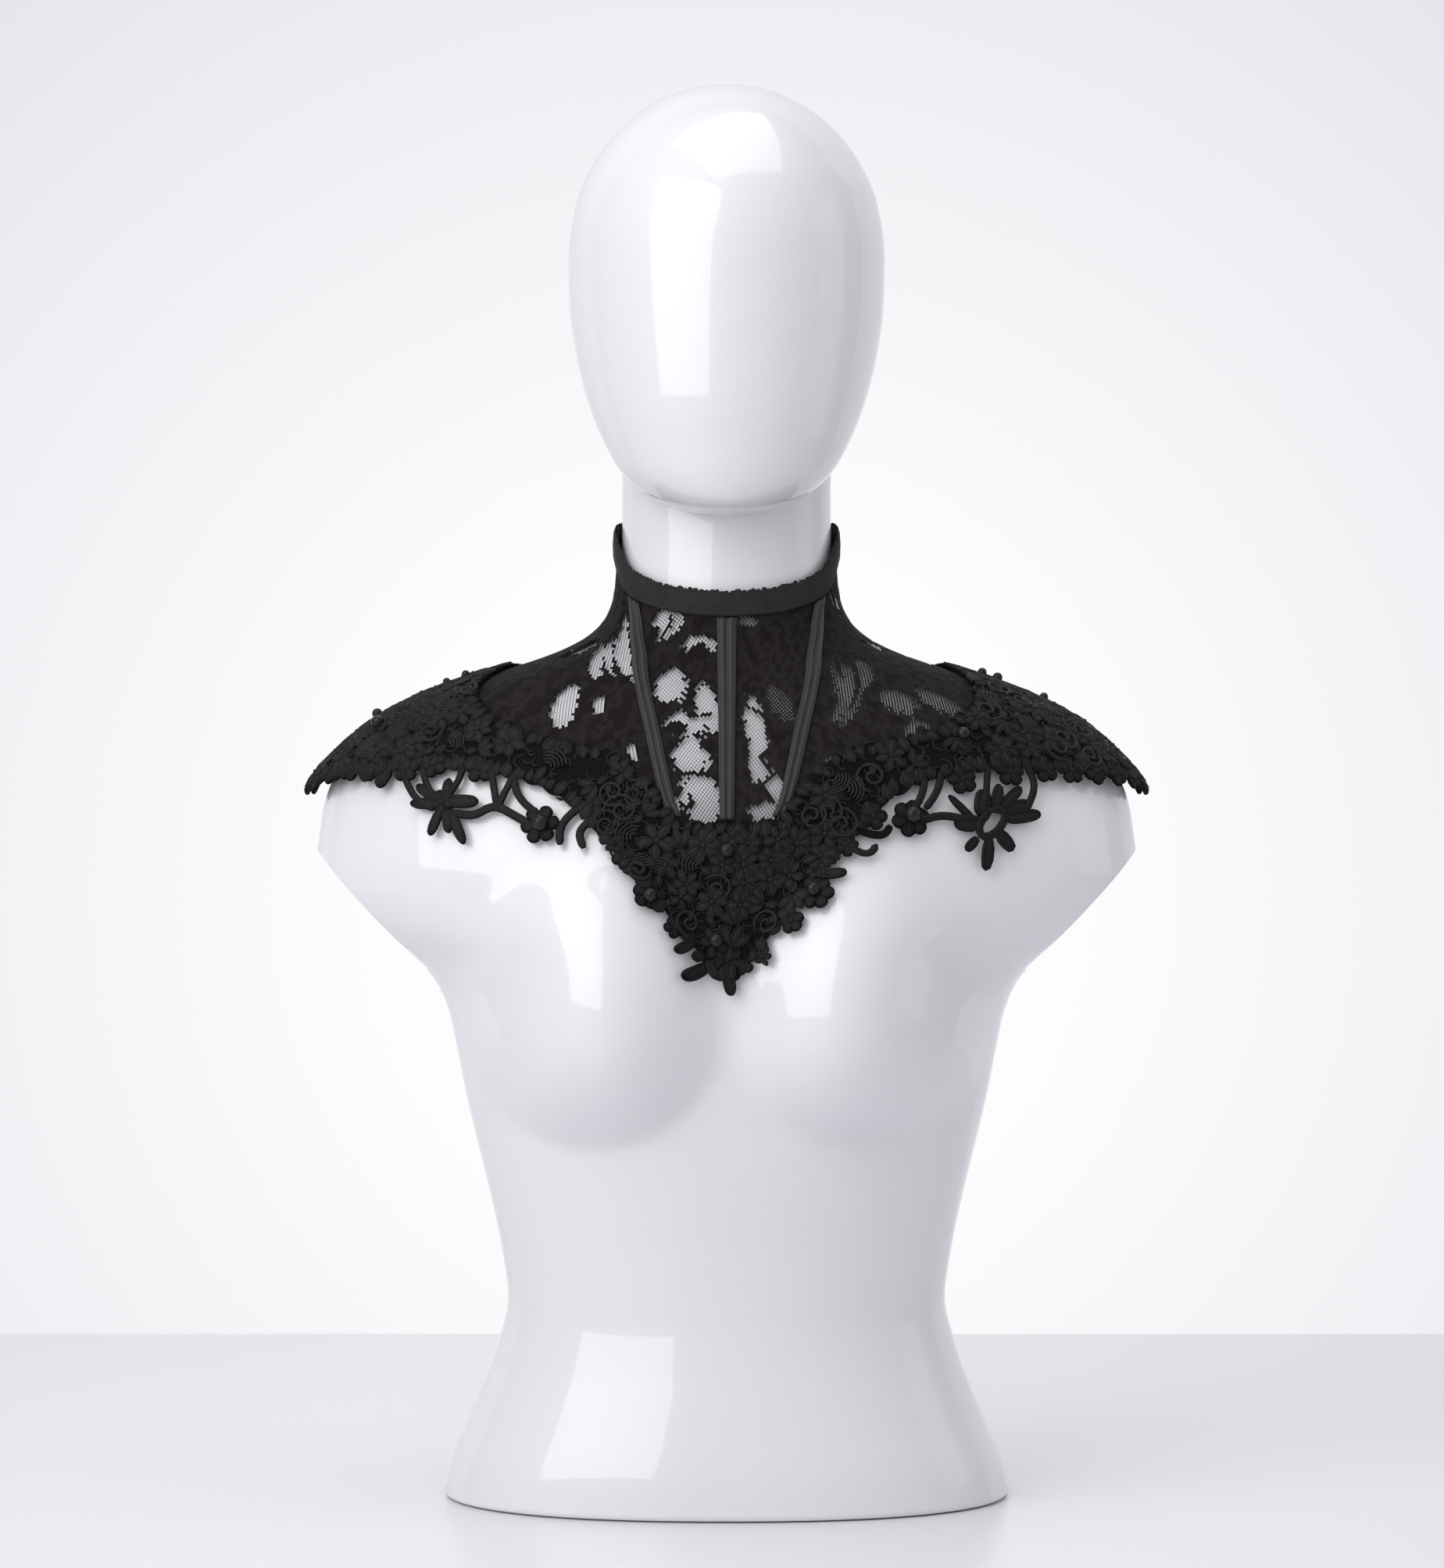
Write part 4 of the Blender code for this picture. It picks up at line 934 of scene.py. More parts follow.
@dataclass
class LacePanel:
    """One panel of black net lace with its woven motifs, cut between two seams."""

    name: str
    node: str
    first: Edge
    last: Edge
    cut: tuple[float, float]
    cut_area: float
    cell_width: float = 1.85
    cell_height: float = 2.3
    columns: int = 20
    rows: int = 36
    foot: float = 0.45
    motif_rise: float = 0.3

    def grid_places(self) -> tuple[np.ndarray, np.ndarray]:
        """Angles and paths of an even grid over the panel, row by row."""
        share = np.linspace(0, 1, self.columns + 1)
        low, high = self.first(140.0), self.last(140.0)
        hems = on_table(LACE_HEM, np.abs(low + (high - low) * share))
        angles, paths = [], []
        for down in np.linspace(0, 1, self.rows + 1):
            path = 0.2 + down * (hems - 0.2)
            starts = np.array([self.first(p) for p in path])
            ends = np.array([self.last(p) for p in path])
            angles.append(starts + (ends - starts) * share)
            paths.append(path)
        return np.array(angles).ravel(), np.array(paths).ravel()

    def flattened(self, surface: Surface) -> tuple[
        np.ndarray, np.ndarray, np.ndarray, list[tuple[int, ...]]
    ]:
        """Lays the curved panel flat with as little stretch as it can.

        Args:
            surface: the surface that it lies on.

        Returns:
            The grid's angles and paths, its flat places in millimetres, and
            its triangles.
        """
        angles, paths = self.grid_places()
        shape = bmesh.new()
        bmesh.ops.create_grid(shape, x_segments=self.columns, y_segments=self.rows, size=0.5)
        order = {}
        for vert in shape.verts:
            column = round((vert.co.x + 0.5) * self.columns)
            row = round((0.5 - vert.co.y) * self.rows)
            order[vert.index] = row * (self.columns + 1) + column
        points = surface.place(angles, paths, np.zeros(len(angles)))
        for vert in shape.verts:
            vert.co = points[order[vert.index]]
        bmesh.ops.triangulate(shape, faces=shape.faces)
        size = sum(face.calc_area() for face in shape.faces) / MM**2
        piece = add_object("pattern", mesh_of(shape, "pattern"))
        bpy.context.view_layer.objects.active = piece
        piece.select_set(True)
        bpy.ops.object.mode_set(mode="EDIT")
        bpy.ops.mesh.select_all(action="SELECT")
        bpy.ops.uv.unwrap(method="MINIMUM_STRETCH", margin=0.0)
        bpy.ops.object.mode_set(mode="OBJECT")
        mesh = piece.data
        flat = np.zeros((len(angles), 2))
        for loop, uv in zip(mesh.loops, mesh.uv_layers.active.data):
            flat[order[loop.vertex_index]] = uv.uv
        faces = [tuple(order[i] for i in face.vertices) for face in mesh.polygons]
        bpy.data.objects.remove(piece)
        a, b, c = flat[np.array(faces).T]
        flat *= math.sqrt(size / (np.abs(doubled_area(a, b, c)).sum() / 2))
        middle = self.columns // 2
        down = flat[self.rows * (self.columns + 1) + middle] - flat[middle]
        turn = -math.pi / 2 - math.atan2(down[1], down[0])
        cos, sin = math.cos(turn), math.sin(turn)
        flat = flat @ np.array([[cos, sin], [-sin, cos]])
        half = (self.rows // 2) * (self.columns + 1)
        if flat[half + self.columns, 0] < flat[half, 0]:
            flat[:, 0] *= -1
        return np.stack([angles, paths], axis=-1), flat, flat.min(axis=0), faces

    def net_cells(self, surface: Surface) -> tuple[bmesh.types.BMesh, np.ndarray, np.ndarray]:
        """The diamond cells of the net over the whole panel.

        Args:
            surface: the surface that it lies on.

        Returns:
            The cells, not yet on the surface, with the place and the flat
            position of each of their corners.
        """
        places, flat, low, faces = self.flattened(surface)
        high = flat.max(axis=0)
        reach = (high - low) / (self.cell_width, self.cell_height)
        count = int(math.ceil(reach.sum())) + 2
        shape = bmesh.new()
        bmesh.ops.create_grid(shape, x_segments=count, y_segments=count, size=count / 2)
        spots = np.array([vert.co.to_2d() for vert in shape.verts])
        lay = np.array([[self.cell_width, self.cell_height], [-self.cell_width, self.cell_height]])
        spots = spots @ lay / 2 + (low + high) / 2
        tree = BVHTree.FromPolygons([(*spot, 0.0) for spot in flat], faces)
        found = [tree.find_nearest((x, y, 0.0)) for x, y in spots]
        index = np.array(faces)[[hit[2] for hit in found]]
        nearest = np.array([hit[0].to_2d() for hit in found])
        outside = np.array([hit[3] for hit in found]) > 1e-3
        a, b, c = flat[index.T]
        area = doubled_area(a, b, c)
        first, second = doubled_area(nearest, b, c), doubled_area(nearest, c, a)
        shares = np.stack([first / area, second / area, 1 - (first + second) / area], axis=-1)
        laid = (places[index] * shares[..., None]).sum(axis=1)
        gone = [vert for vert in shape.verts if outside[vert.index]]
        lost = [face for face in shape.faces if all(outside[vert.index] for vert in face.verts)]
        keep = np.ones(len(shape.verts), bool)
        bmesh.ops.delete(shape, geom=lost, context="FACES_ONLY")
        loose = [vert for vert in gone if not vert.link_faces]
        keep[[vert.index for vert in loose]] = False
        bmesh.ops.delete(shape, geom=loose, context="VERTS")
        shape.verts.index_update()
        shape.verts.ensure_lookup_table()
        return shape, laid[keep], nearest[keep]

    def mesh(self, surface: Surface, design: LaceDesign) -> bpy.types.Mesh:
        """The panel with its holes cut and its motifs raised.

        Args:
            surface: the surface that it lies on.
            design: where the motifs lie.

        Returns:
            The mesh in place.
        """
        shape, places, flat = self.net_cells(surface)
        cells = [[vert.index for vert in face.verts] for face in shape.faces]
        middles = places[np.array(cells)].mean(axis=1)
        nets = design.nets(middles[:, 0], middles[:, 1])
        for index, face in enumerate(shape.faces):
            if any(edge.is_boundary for vert in face.verts for edge in vert.link_edges):
                nets[index] = Net.CLOSED.value
        thick = np.ones(len(places), bool)
        for cell, net in zip(cells, nets):
            if net != Net.CLOSED.value:
                thick[cell] = False
        out = np.where(thick, self.foot + self.motif_rise, self.foot)
        place_verts(shape, surface.place(places[:, 0], places[:, 1], out), flat)
        layer = shape.verts.layers.float.new("rise")
        for vert, raised in zip(shape.verts, thick):
            vert[layer] = float(raised)
        groups: dict[float, list[bmesh.types.BMFace]] = {}
        for face, net in zip(list(shape.faces), nets):
            if net > 0:
                groups.setdefault(float(net), []).append(face)
        for width, faces in groups.items():
            bmesh.ops.inset_individual(
                shape, faces=faces, thickness=width * MM, use_even_offset=True,
                use_interpolate=True,
            )
            bmesh.ops.delete(shape, geom=faces, context="FACES_ONLY")
        bmesh.ops.dissolve_degenerate(shape, edges=shape.edges, dist=2e-5)
        facing = 0.0
        for face in shape.faces[:200]:
            middle = face.calc_center_median()
            facing += face.normal.dot(middle - Vector((0, SHIFT_Y * MM, middle.z)))
        if facing < 0:
            bmesh.ops.reverse_faces(shape, faces=shape.faces)
        return mesh_of(shape, self.name)

    def build(
        self, surface: Surface, design: LaceDesign, shop: Workshop, form: bpy.types.Object,
    ) -> bpy.types.Object:
        """Makes the panel.

        Args:
            surface: the surface that it lies on.
            design: where the motifs lie.
            shop: where the finishes come from.
            form: the display form under it; not used.

        Returns:
            The panel's object.
        """
        piece = shop.dress(self.mesh(surface, design), BLACK_NET, self.node)
        return piece


def lace_panels(surface: Surface) -> list[LacePanel]:
    """The six panels, from the centre front to the centre back on each side."""
    half = SEAM_GAP / 2

    def bone(side: int, distance: float) -> Edge:
        return lambda path: side * surface.beside(float(on_table(SIDE_BONE, path)), path, distance)

    def seam(side: int, angle: float, distance: float) -> Edge:
        return lambda path: side * surface.beside(angle, path, distance)

    panels = []
    for side, name in ((-1, "left"), (1, "right")):
        rows = (
            ("front", seam(side, 0.0, half), bone(side, -half), (0.048, 0.173), 0.0054, 12, 36),
            (
                "side", bone(side, half), seam(side, SHOULDER_SEAM, -half), (0.181, 0.155), 0.0127,
                28, 36
            ),
            (
                "back", seam(side, SHOULDER_SEAM, half), seam(side, 180.0, -BACK_EDGE),
                (0.154, 0.172), 0.0140, 28, 32
            ),
        )
        for place, first, last, cut, area, columns, count in rows:
            panels.append(
                LacePanel(
                    f"{place}_panel_{name}", f"lace_{place}_{name}", first, last, cut, area,
                    columns=columns, rows=count,
                )
            )
    return panels


def thickened(shape: bmesh.types.BMesh) -> tuple[np.ndarray, np.ndarray]:
    """Gives a flat unit grid a second side.

    Args:
        shape: the grid, from -0.5 to 0.5 both ways.

    Returns:
        Each corner's share of the width and of the way down, and whether it
        is on the second side.
    """
    grown = bmesh.ops.extrude_face_region(shape, geom=shape.faces[:], use_keep_orig=True)
    shape.verts.index_update()
    outer = np.zeros(len(shape.verts), bool)
    outer[[part.index for part in grown["geom"] if isinstance(part, bmesh.types.BMVert)]] = True
    return np.array([(vert.co.x + 0.5, 0.5 - vert.co.y) for vert in shape.verts]), outer


def place_verts(shape: bmesh.types.BMesh, points: np.ndarray, flat: np.ndarray) -> None:
    """Moves the corners to their points and notes their flat places.

    Args:
        shape: the bmesh.
        points: where each corner goes, in metres.
        flat: each corner's place on the flat cloth in millimetres.
    """
    layer = shape.loops.layers.uv.new("UVMap")
    for vert, point in zip(shape.verts, points):
        vert.co = point
    for face in shape.faces:
        for loop in face.loops:
            loop[layer].uv = flat[loop.vert.index] * MM


@dataclass
class Ribbon:
    """A closed ribbon laid on the cloth, with a profile across its width."""

    name: str
    middle: Callable[[float, float], float]
    start: float
    end: float
    width: tuple[float, float]
    profile: tuple[tuple[float, float], ...]
    rows: int
    foot: float = LACE_WALL + TRIM_GAP

    def mesh(self, surface: Surface) -> bpy.types.Mesh:
        """The ribbon's closed mesh, with a UV map in metres."""
        shape = bmesh.new()
        columns = len(self.profile) - 1
        bmesh.ops.create_grid(shape, x_segments=columns, y_segments=self.rows, size=0.5)
        spots, outer = thickened(shape)
        column = np.round(spots[:, 0] * columns).astype(int)
        across, heights = np.array(self.profile).T
        path = self.start + spots[:, 1] * (self.end - self.start)
        width = self.width[0] + spots[:, 1] * (self.width[1] - self.width[0])
        angle = np.array([self.middle(p, a * w) for p, a, w in zip(path, across[column], width)])
        points = surface.place(angle, path, self.foot + np.where(outer, heights[column], 0))
        place_verts(shape, points, np.stack([across[column] * width, path], axis=-1))
        return mesh_of(shape, self.name, outward=True)


class Motif(Enum):
    """The small raised shapes that the guipure is drawn with."""

    PETAL = "petal"
    LEAF = "leaf"
    FINGER = "finger"
    BUTTON = "button"
    STITCH = "stitch"


class Template:
    """A small raised shape: its places across and along, and its heights."""

    ACROSS = (-1.0, -0.84, -0.58, -0.2, 0.2, 0.58, 0.84, 1.0)

    def __init__(self, motif: Motif) -> None:
        """Shapes a small grid into the motif.

        Args:
            motif: which of the shapes it is.
        """
        rows = {Motif.BUTTON: 4, Motif.STITCH: 2}.get(motif, 5)
        across = (-1.0, -0.5, 0.5, 1.0) if motif is Motif.STITCH else self.ACROSS
        shape = bmesh.new()
        bmesh.ops.create_grid(shape, x_segments=len(across) - 1, y_segments=rows, size=0.5)
        for vert in shape.verts:
            side = across[round((vert.co.x + 0.5) * (len(across) - 1))]
            along = 0.5 - 0.5 * math.cos(math.pi * (0.5 - vert.co.y))
            vert.co = (
                side * self.half_width(motif, along), along, self.height(motif, side, along)
            )
        bmesh.ops.remove_doubles(shape, verts=shape.verts, dist=1e-4)
        shape.verts.index_update()
        self.points = np.array([vert.co for vert in shape.verts])
        self.faces = [[vert.index for vert in face.verts] for face in shape.faces]
        shape.free()

    @staticmethod
    def half_width(motif: Motif, along: float) -> float:
        """Half the width of a motif at a share of its length."""
        if motif is Motif.LEAF:
            return 0.5 * math.sin(math.pi * along) ** 0.85
        if motif is Motif.PETAL:
            return 0.5 * max(0.0, math.sin(math.pi * along**1.35)) ** 0.7
        return 0.5 * max(0.0, 1 - abs(2 * along - 1) ** 3.2) ** 0.5

    @staticmethod
    def height(motif: Motif, side: float, along: float) -> float:
        """The height of a motif at a place, as a share of its full height."""
        if motif in (Motif.BUTTON, Motif.STITCH):
            return -0.3 + 1.3 * math.sqrt(max(0.0, 1 - side**2)) * math.sin(math.pi * along) ** 0.5
        if abs(side) > 0.99 or along in (0.0, 1.0):
            return -0.35
        rim = 1.0 if abs(side) > 0.8 or along > 0.93 else 0.12
        vein = 0.75 if abs(side) < 0.3 and along < 0.8 else 0.0
        return max(rim, vein) * (0.75 + 0.25 * math.sin(math.pi * along))


class Relief:
    """Gathers raised shapes in local millimetres and lays them on the cloth at once."""

    def __init__(self, surface: Surface, foot: float) -> None:
        """Starts empty.

        Args:
            surface: the surface that the shapes lie on.
            foot: how far out from it they start, in millimetres.
        """
        self.surface = surface
        self.foot = foot
        self.templates = {motif: Template(motif) for motif in Motif}
        self.angles: list[np.ndarray] = []
        self.paths: list[np.ndarray] = []
        self.outs: list[np.ndarray] = []
        self.rises: list[np.ndarray] = []
        self.faces: list[list[int]] = []
        self.count = 0

    def keep(
        self, angle: np.ndarray, path: np.ndarray, out: np.ndarray, rise: np.ndarray,
        faces: Sequence[Sequence[int]],
    ) -> None:
        """Adds points by their places, and the faces between them."""
        # rise from 0 to 1 sets how much painted shade the cord finish lays on a point; lifted motifs get
        # less
        self.rises.append(np.clip(rise, 0, 1))
        self.angles.append(angle)
        self.paths.append(path)
        self.outs.append(out)
        self.faces += [[self.count + i for i in face] for face in faces]
        self.count += len(angle)

    def motif(
        self, motif: Motif, place: Place, turn: float, length: float, width: float,
        height: float = 1.0, lift: float = 0.0,
    ) -> None:
        """Adds one shape whose root lies at a place.

        Args:
            motif: which shape.
            place: the place of its root.
            turn: degrees from straight down towards +X that it points.
            length: its length in millimetres.
            width: its width in millimetres.
            height: how high its rim stands in millimetres.
            lift: how far it is raised as a whole.
        """
        template = self.templates[motif]
        side, along, high = template.points.T
        across, down = turned(side * width, along * length, turn)
        angle, path = self.surface.laid(*place, across, down)
        self.keep(angle, path, high * height + lift, high * (0.7 + lift), template.faces)

    def between(
        self, motif: Motif, root: Place, tip: Place, width: float, height: float = 1.0,
        lift: float = 0.0,
    ) -> None:
        """Adds one shape that reaches from one place to another."""
        across, down = self.surface.local(root, np.array([tip[0]]), np.array([tip[1]]))
        turn = math.degrees(math.atan2(across[0], down[0]))
        length = float(np.hypot(across[0], down[0]))
        self.motif(motif, root, turn, length, width, height, lift)

    def cord(
        self, places: np.ndarray, width: float, height: float, lift: float = 0.0,
        double: bool = False,
    ) -> None:
        """Adds a cord, or a braid with a groove, along a smooth line of places.

        Args:
            places: rows of angle and path.
            width: its width in millimetres.
            height: its height in millimetres.
            lift: how far it is raised as a whole.
            double: whether a groove runs down its middle.
        """
        profile = (
            (-0.5, -0.4), (-0.34, 0.85), (0.0, 0.35 if double else 1.0), (0.34, 0.85), (0.5, -0.4)
        )
        angle, path = places.T
        u, v = self.surface.heading(angle, path)
        taper = np.ones(len(places))
        taper[0] = taper[-1] = 0.45
        rows = [
            self.surface.laid(angle, path, -v * share * width * taper, u * share * width * taper)
            for share, _ in profile
        ]
        count = len(places)
        faces = [
            [i * count + j, i * count + j + 1, (i + 1) * count + j + 1, (i + 1) * count + j]
            for i in range(len(profile) - 1)
            for j in range(count - 1)
        ]
        high = np.repeat([high for _, high in profile], count)
        angle, path = (np.concatenate([row[i] for row in rows]) for i in (0, 1))
        self.keep(angle, path, high * height + lift, high * (0.7 + lift), faces)

    def curve(
        self, place: Place, radius: np.ndarray, sweep: np.ndarray, width: float, height: float,
        lift: float,
    ) -> None:
        """Adds a cord that curves round a place.

        Args:
            place: the centre that it curves round.
            radius: its radius in millimetres, one or many.
            sweep: radians from straight down towards +X, one for each point.
            width: its width in millimetres.
            height: its height in millimetres.
            lift: how far it is raised as a whole.
        """
        line = self.surface.laid(*place, radius * np.sin(sweep), radius * np.cos(sweep))
        self.cord(np.stack(line, axis=-1), width, height, lift)

    def shifted(self, place: Place, turn: float, distance: float) -> Place:
        """A place moved some millimetres along the direction of a turn."""
        lean = math.radians(turn)
        angle, path = self.surface.laid(
            *place, distance * math.sin(lean), distance * math.cos(lean)
        )
        return float(angle), float(path)

    def mesh(self, name: str) -> bpy.types.Mesh:
        """The gathered shapes as one mesh in place."""
        out = self.foot + np.concatenate(self.outs)
        points = self.surface.place(np.concatenate(self.angles), np.concatenate(self.paths), out)
        mesh = bpy.data.meshes.new(name)
        mesh.from_pydata(points.tolist(), [], self.faces)
        shape = bmesh.new()
        shape.from_mesh(mesh)
        bmesh.ops.recalc_face_normals(shape, faces=shape.faces)
        self.face_outward(shape, points)
        shape.to_mesh(mesh)
        shape.free()
        note_rise(mesh, np.concatenate(self.rises))
        return mesh

    def face_outward(self, shape: bmesh.types.BMesh, points: np.ndarray) -> None:
        """Turns every open shape so that its faces look away from the body."""
        normals = self.surface.read(
            self.surface.normals, np.concatenate(self.angles), np.concatenate(self.paths)
        )
        wrong = [
            face
            for face in shape.faces
            if face.normal.dot(Vector(normals[face.verts[0].index])) < -0.2
        ]
        bmesh.ops.reverse_faces(shape, faces=wrong)


def smooth_line(places: Sequence[Place], count: int) -> np.ndarray:
    """Points at even steps along a rounded line through a few places.

    Args:
        places: rows of angle and path.
        count: how many points.

    Returns:
        Rows of angle and path.
    """
    line = np.array(places, float)
    for _ in range(2):
        if len(line) > 2:
            cut = np.concatenate(
                [line[:-1] * 0.75 + line[1:] * 0.25, line[:-1] * 0.25 + line[1:] * 0.75], axis=1
            )
            line = np.concatenate([line[:1], cut.reshape(-1, 2), line[-1:]])
    step = np.hypot(np.diff(line[:, 0]) * 2.5, np.diff(line[:, 1]))
    run = np.concatenate([[0], np.cumsum(step)])
    at = np.linspace(0, run[-1], count)
    return np.stack([np.interp(at, run, line[:, 0]), np.interp(at, run, line[:, 1])], axis=-1)


EDGE_HEIGHT = 0.95


@dataclass(frozen=True)
class Finger:
    """A slender petal of the guipure's edge, from its root to its tip."""

    root: Place
    tip: Place
    width: float = 4.6

    @property
    def angle(self) -> float:
        """The angle of its root."""
        return self.root[0]

    def outline(self, plan: "Plan") -> None:
        """Adds its long rounded outline to a plan."""
        across, down = plan.surface.local(self.root, *np.array(self.tip, float)[:, None])
        length = float(np.hypot(across[0], down[0]))
        u, v = across[0] / length, down[0] / length
        along = 0.5 - 0.5 * np.cos(np.linspace(0, math.pi, 12))
        half = self.width / 2 * np.sqrt(np.clip(1 - np.abs(2 * along - 1) ** 3.2, 0, 1))
        line = np.concatenate([along, along[-2:0:-1]]) * length
        side = np.concatenate([half, -half[-2:0:-1]])
        plan.shape(self.root, line * u - side * v, line * v + side * u)

    def emboss(self, relief: Relief) -> None:
        """Raises it."""
        relief.between(Motif.FINGER, self.root, self.tip, self.width, EDGE_HEIGHT)


@dataclass(frozen=True)
class Strand:
    """A flat braid of the guipure's edge that runs through a few places."""

    route: tuple[Place, ...]
    width: float = 3.6

    @property
    def angle(self) -> float:
        """The angle of its start."""
        return self.route[0][0]

    def outline(self, plan: "Plan") -> None:
        """Adds its outline to a plan."""
        angle, path = smooth_line(self.route, 14).T
        u, v = plan.surface.heading(angle, path)
        half = self.width / 2 * np.where(np.arange(14) % 13 == 0, 0.6, 1.0)
        sides = [
            np.stack(plan.surface.laid(angle, path, -v * half * s, u * half * s), axis=-1)
            for s in (1, -1)
        ]
        plan.outline(np.concatenate([sides[0], sides[1][::-1]]), plan.solid)

    def emboss(self, relief: Relief) -> None:
        """Raises it."""
        relief.cord(smooth_line(self.route, 16), self.width, EDGE_HEIGHT, double=True)


@dataclass(frozen=True)
class Bloom:
    """A round flower of the guipure's edge."""

    angle: float
    path: float
    radius: float
    petals: int = 5
    turn: float = 0.0
    petal_width: Optional[float] = None
    button: bool = True

    def outline(self, plan: "Plan") -> None:
        """Adds its lobed outline to a plan."""
        turn = np.linspace(0, 2 * math.pi, self.petals * 8, endpoint=False)
        wave = np.abs(np.cos(self.petals * (turn - math.radians(self.turn)) / 2)) ** 0.55
        away = self.radius * (0.70 + 0.30 * wave)
        plan.shape((self.angle, self.path), away * np.sin(turn), away * np.cos(turn))

    def emboss(self, relief: Relief) -> None:
        """Raises its petals and its middle."""
        place = (self.angle, self.path)
        wide = self.petal_width or 1.25 * self.radius * math.sin(math.pi / self.petals)
        for i in range(self.petals):
            lean = self.turn + 360 * i / self.petals
            relief.motif(Motif.PETAL, place, lean, self.radius, wide, EDGE_HEIGHT)
        if self.button:
            relief.motif(Motif.BUTTON, relief.shifted(place, 0, -1.5), 0, 3.0, 3.0, 1.2, 0.2)


FINGERS = tuple(
    Finger(*row) for row in (
        ((-42, 164), (-43.6, 180), 5), ((-41.2, 163), (-40.2, 173.5), 4.8),
        ((-40.6, 162), (-37.4, 174.5), 5), ((-41.5, 160), (-35.8, 151), 6.4),
        ((-42, 162), (-48, 171), 5.4), ((-42, 161), (-47.6, 161.5), 5.4),
        ((-41, 162), (-42, 149), 5.4), ((-60, 170), (-61.2, 180), 7),
        ((-64, 176), (-67.4, 186), 7), ((-55.5, 164), (-56, 175.5), 7),
        ((-74, 194), (-79.2, 211.5), 6), ((-77, 198), (-84.5, 214), 6.4),
        ((36.4, 159.5), (37.6, 148), 8.4), ((35.8, 163), (32, 155.5), 7.4),
        ((36, 164), (31.6, 141.5), 3.8), ((35.6, 168.5), (33.4, 171.5), 5),
        ((37.4, 171), (36.6, 186), 6.6), ((38.8, 170), (41.4, 184), 7.4),
        ((40.4, 167), (47.2, 175), 6.4), ((40.6, 163.5), (45.4, 167), 6.6),
        ((40, 160.5), (44.4, 157.5), 5.6), ((38.8, 160), (40.6, 150), 5.6),
        ((76, 196), (84.6, 216), 6), ((79, 201), (88.6, 217.5), 6.4),
        ((12.8, 158), (16.5, 161.4), 5.4), ((-6, 183), (-10.2, 193.5), 5.2),
        ((-3.4, 193), (-8.6, 205), 5.4), ((0, 194), (0.8, 207), 5.6), ((1.6, 191), (5.2, 197), 5),
    )
)
STRANDS = tuple(
    Strand(*row) for row in (
        (((-54, 158), (-49.8, 163.5), (-47.2, 167.5), (-43.4, 167)), 3.2),
        (((-48.4, 151.5), (-46.2, 157.5), (-43.6, 161.5)), 3.2),
        (((-40.2, 140), (-40, 148), (-41.4, 158)), 3.2),
        (
            (
                (-39.8, 163), (-36.2, 159), (-34.5, 153), (-32.8, 148.5), (-30.8, 148.5),
                (-27, 149.5)
            ),
            4
        ),
        (((-35.4, 132), (-33.7, 140), (-32.6, 149)), 3.4),
        (((-30.8, 129), (-31.6, 139), (-32.4, 148)), 3.4),
        (((-31, 131), (-29.5, 139.5), (-26.4, 143)), 3.6),
        (((-19.4, 129), (-21.6, 137), (-22.9, 145.5), (-22.6, 153.5)), 3.8),
        (((-16.8, 129), (-18.8, 137), (-20.2, 144.5), (-19.3, 151.5)), 3.8),
        (((-14.2, 129.5), (-15.9, 138), (-17, 146)), 3.8),
        (((26.5, 147), (29.5, 148.5), (31.4, 151.5), (33.4, 156), (36.4, 161)), 3.8),
        (
            (
                (38.2, 159.6), (39.6, 160.6), (40.6, 164), (40.4, 168), (38.6, 171.4),
                (36.6, 170.4), (35.8, 166), (36.2, 161.4), (38.2, 159.6)
            ),
            4.2
        ),
        (((28.2, 122), (28.3, 131), (26.6, 139)), 3.6),
        (((31.4, 129), (30.2, 136.5), (27.8, 142.5)), 3.6),
        (((47.5, 151.5), (47.4, 161), (44.6, 169)), 3.4),
        (((39.8, 139), (38.4, 146), (37.2, 156)), 3.2),
        (((16, 144), (17.8, 152.5), (19.4, 155), (20.2, 151)), 3.8),
        (((17, 138), (19.4, 144.5), (21.4, 147.5), (22.4, 143.5)), 3.8),
    )
)
BLOOMS = tuple(
    Bloom(*row) for row in (
        (-13.8, 150.5, 6.6, 5, 10), (-11.6, 167, 7.4, 5, 40), (-9, 180, 5.6, 5, 0),
        (7.6, 193, 5.2, 5, 0), (13, 168, 8.4, 6, 10), (10.6, 179, 6.2, 5, 30),
        (-25.8, 147.5, 9.6, 6, 0), (25.4, 144, 9.4, 6, 20), (-42, 161, 6.6, 5, 30),
        (-51.5, 158, 7.5, 5, 0), (-59.5, 170, 7.5, 5, 20), (-66.5, 182, 7, 5, 0),
        (-72.5, 193, 7, 5, 30), (51, 158, 7, 5, 10), (57, 168, 7, 5, 0), (63.5, 179, 7, 5, 30),
        (70.5, 191, 7, 5, 10), (77, 202, 7, 5, 0), (0, 190, 7.5, 6, 0), (16, 146, 6.4, 5, 0),
        (-18.5, 129, 7, 5, 0), (20, 136, 7, 5, 0), (-37, 136, 7.5, 5, 0), (34.5, 138, 7.5, 5, 20),
        (-46, 147.5, 7, 5, 20), (43.5, 148, 7.5, 5, 0),
    )
)
# gap: angle, path, length, width, turn
GAPS = (
    (-11.4, 153.0, 6.5, 2.2, -12), (-9.2, 168.5, 6.0, 2.2, -30), (38.2, 165.6, 8.0, 5.0, 0),
)
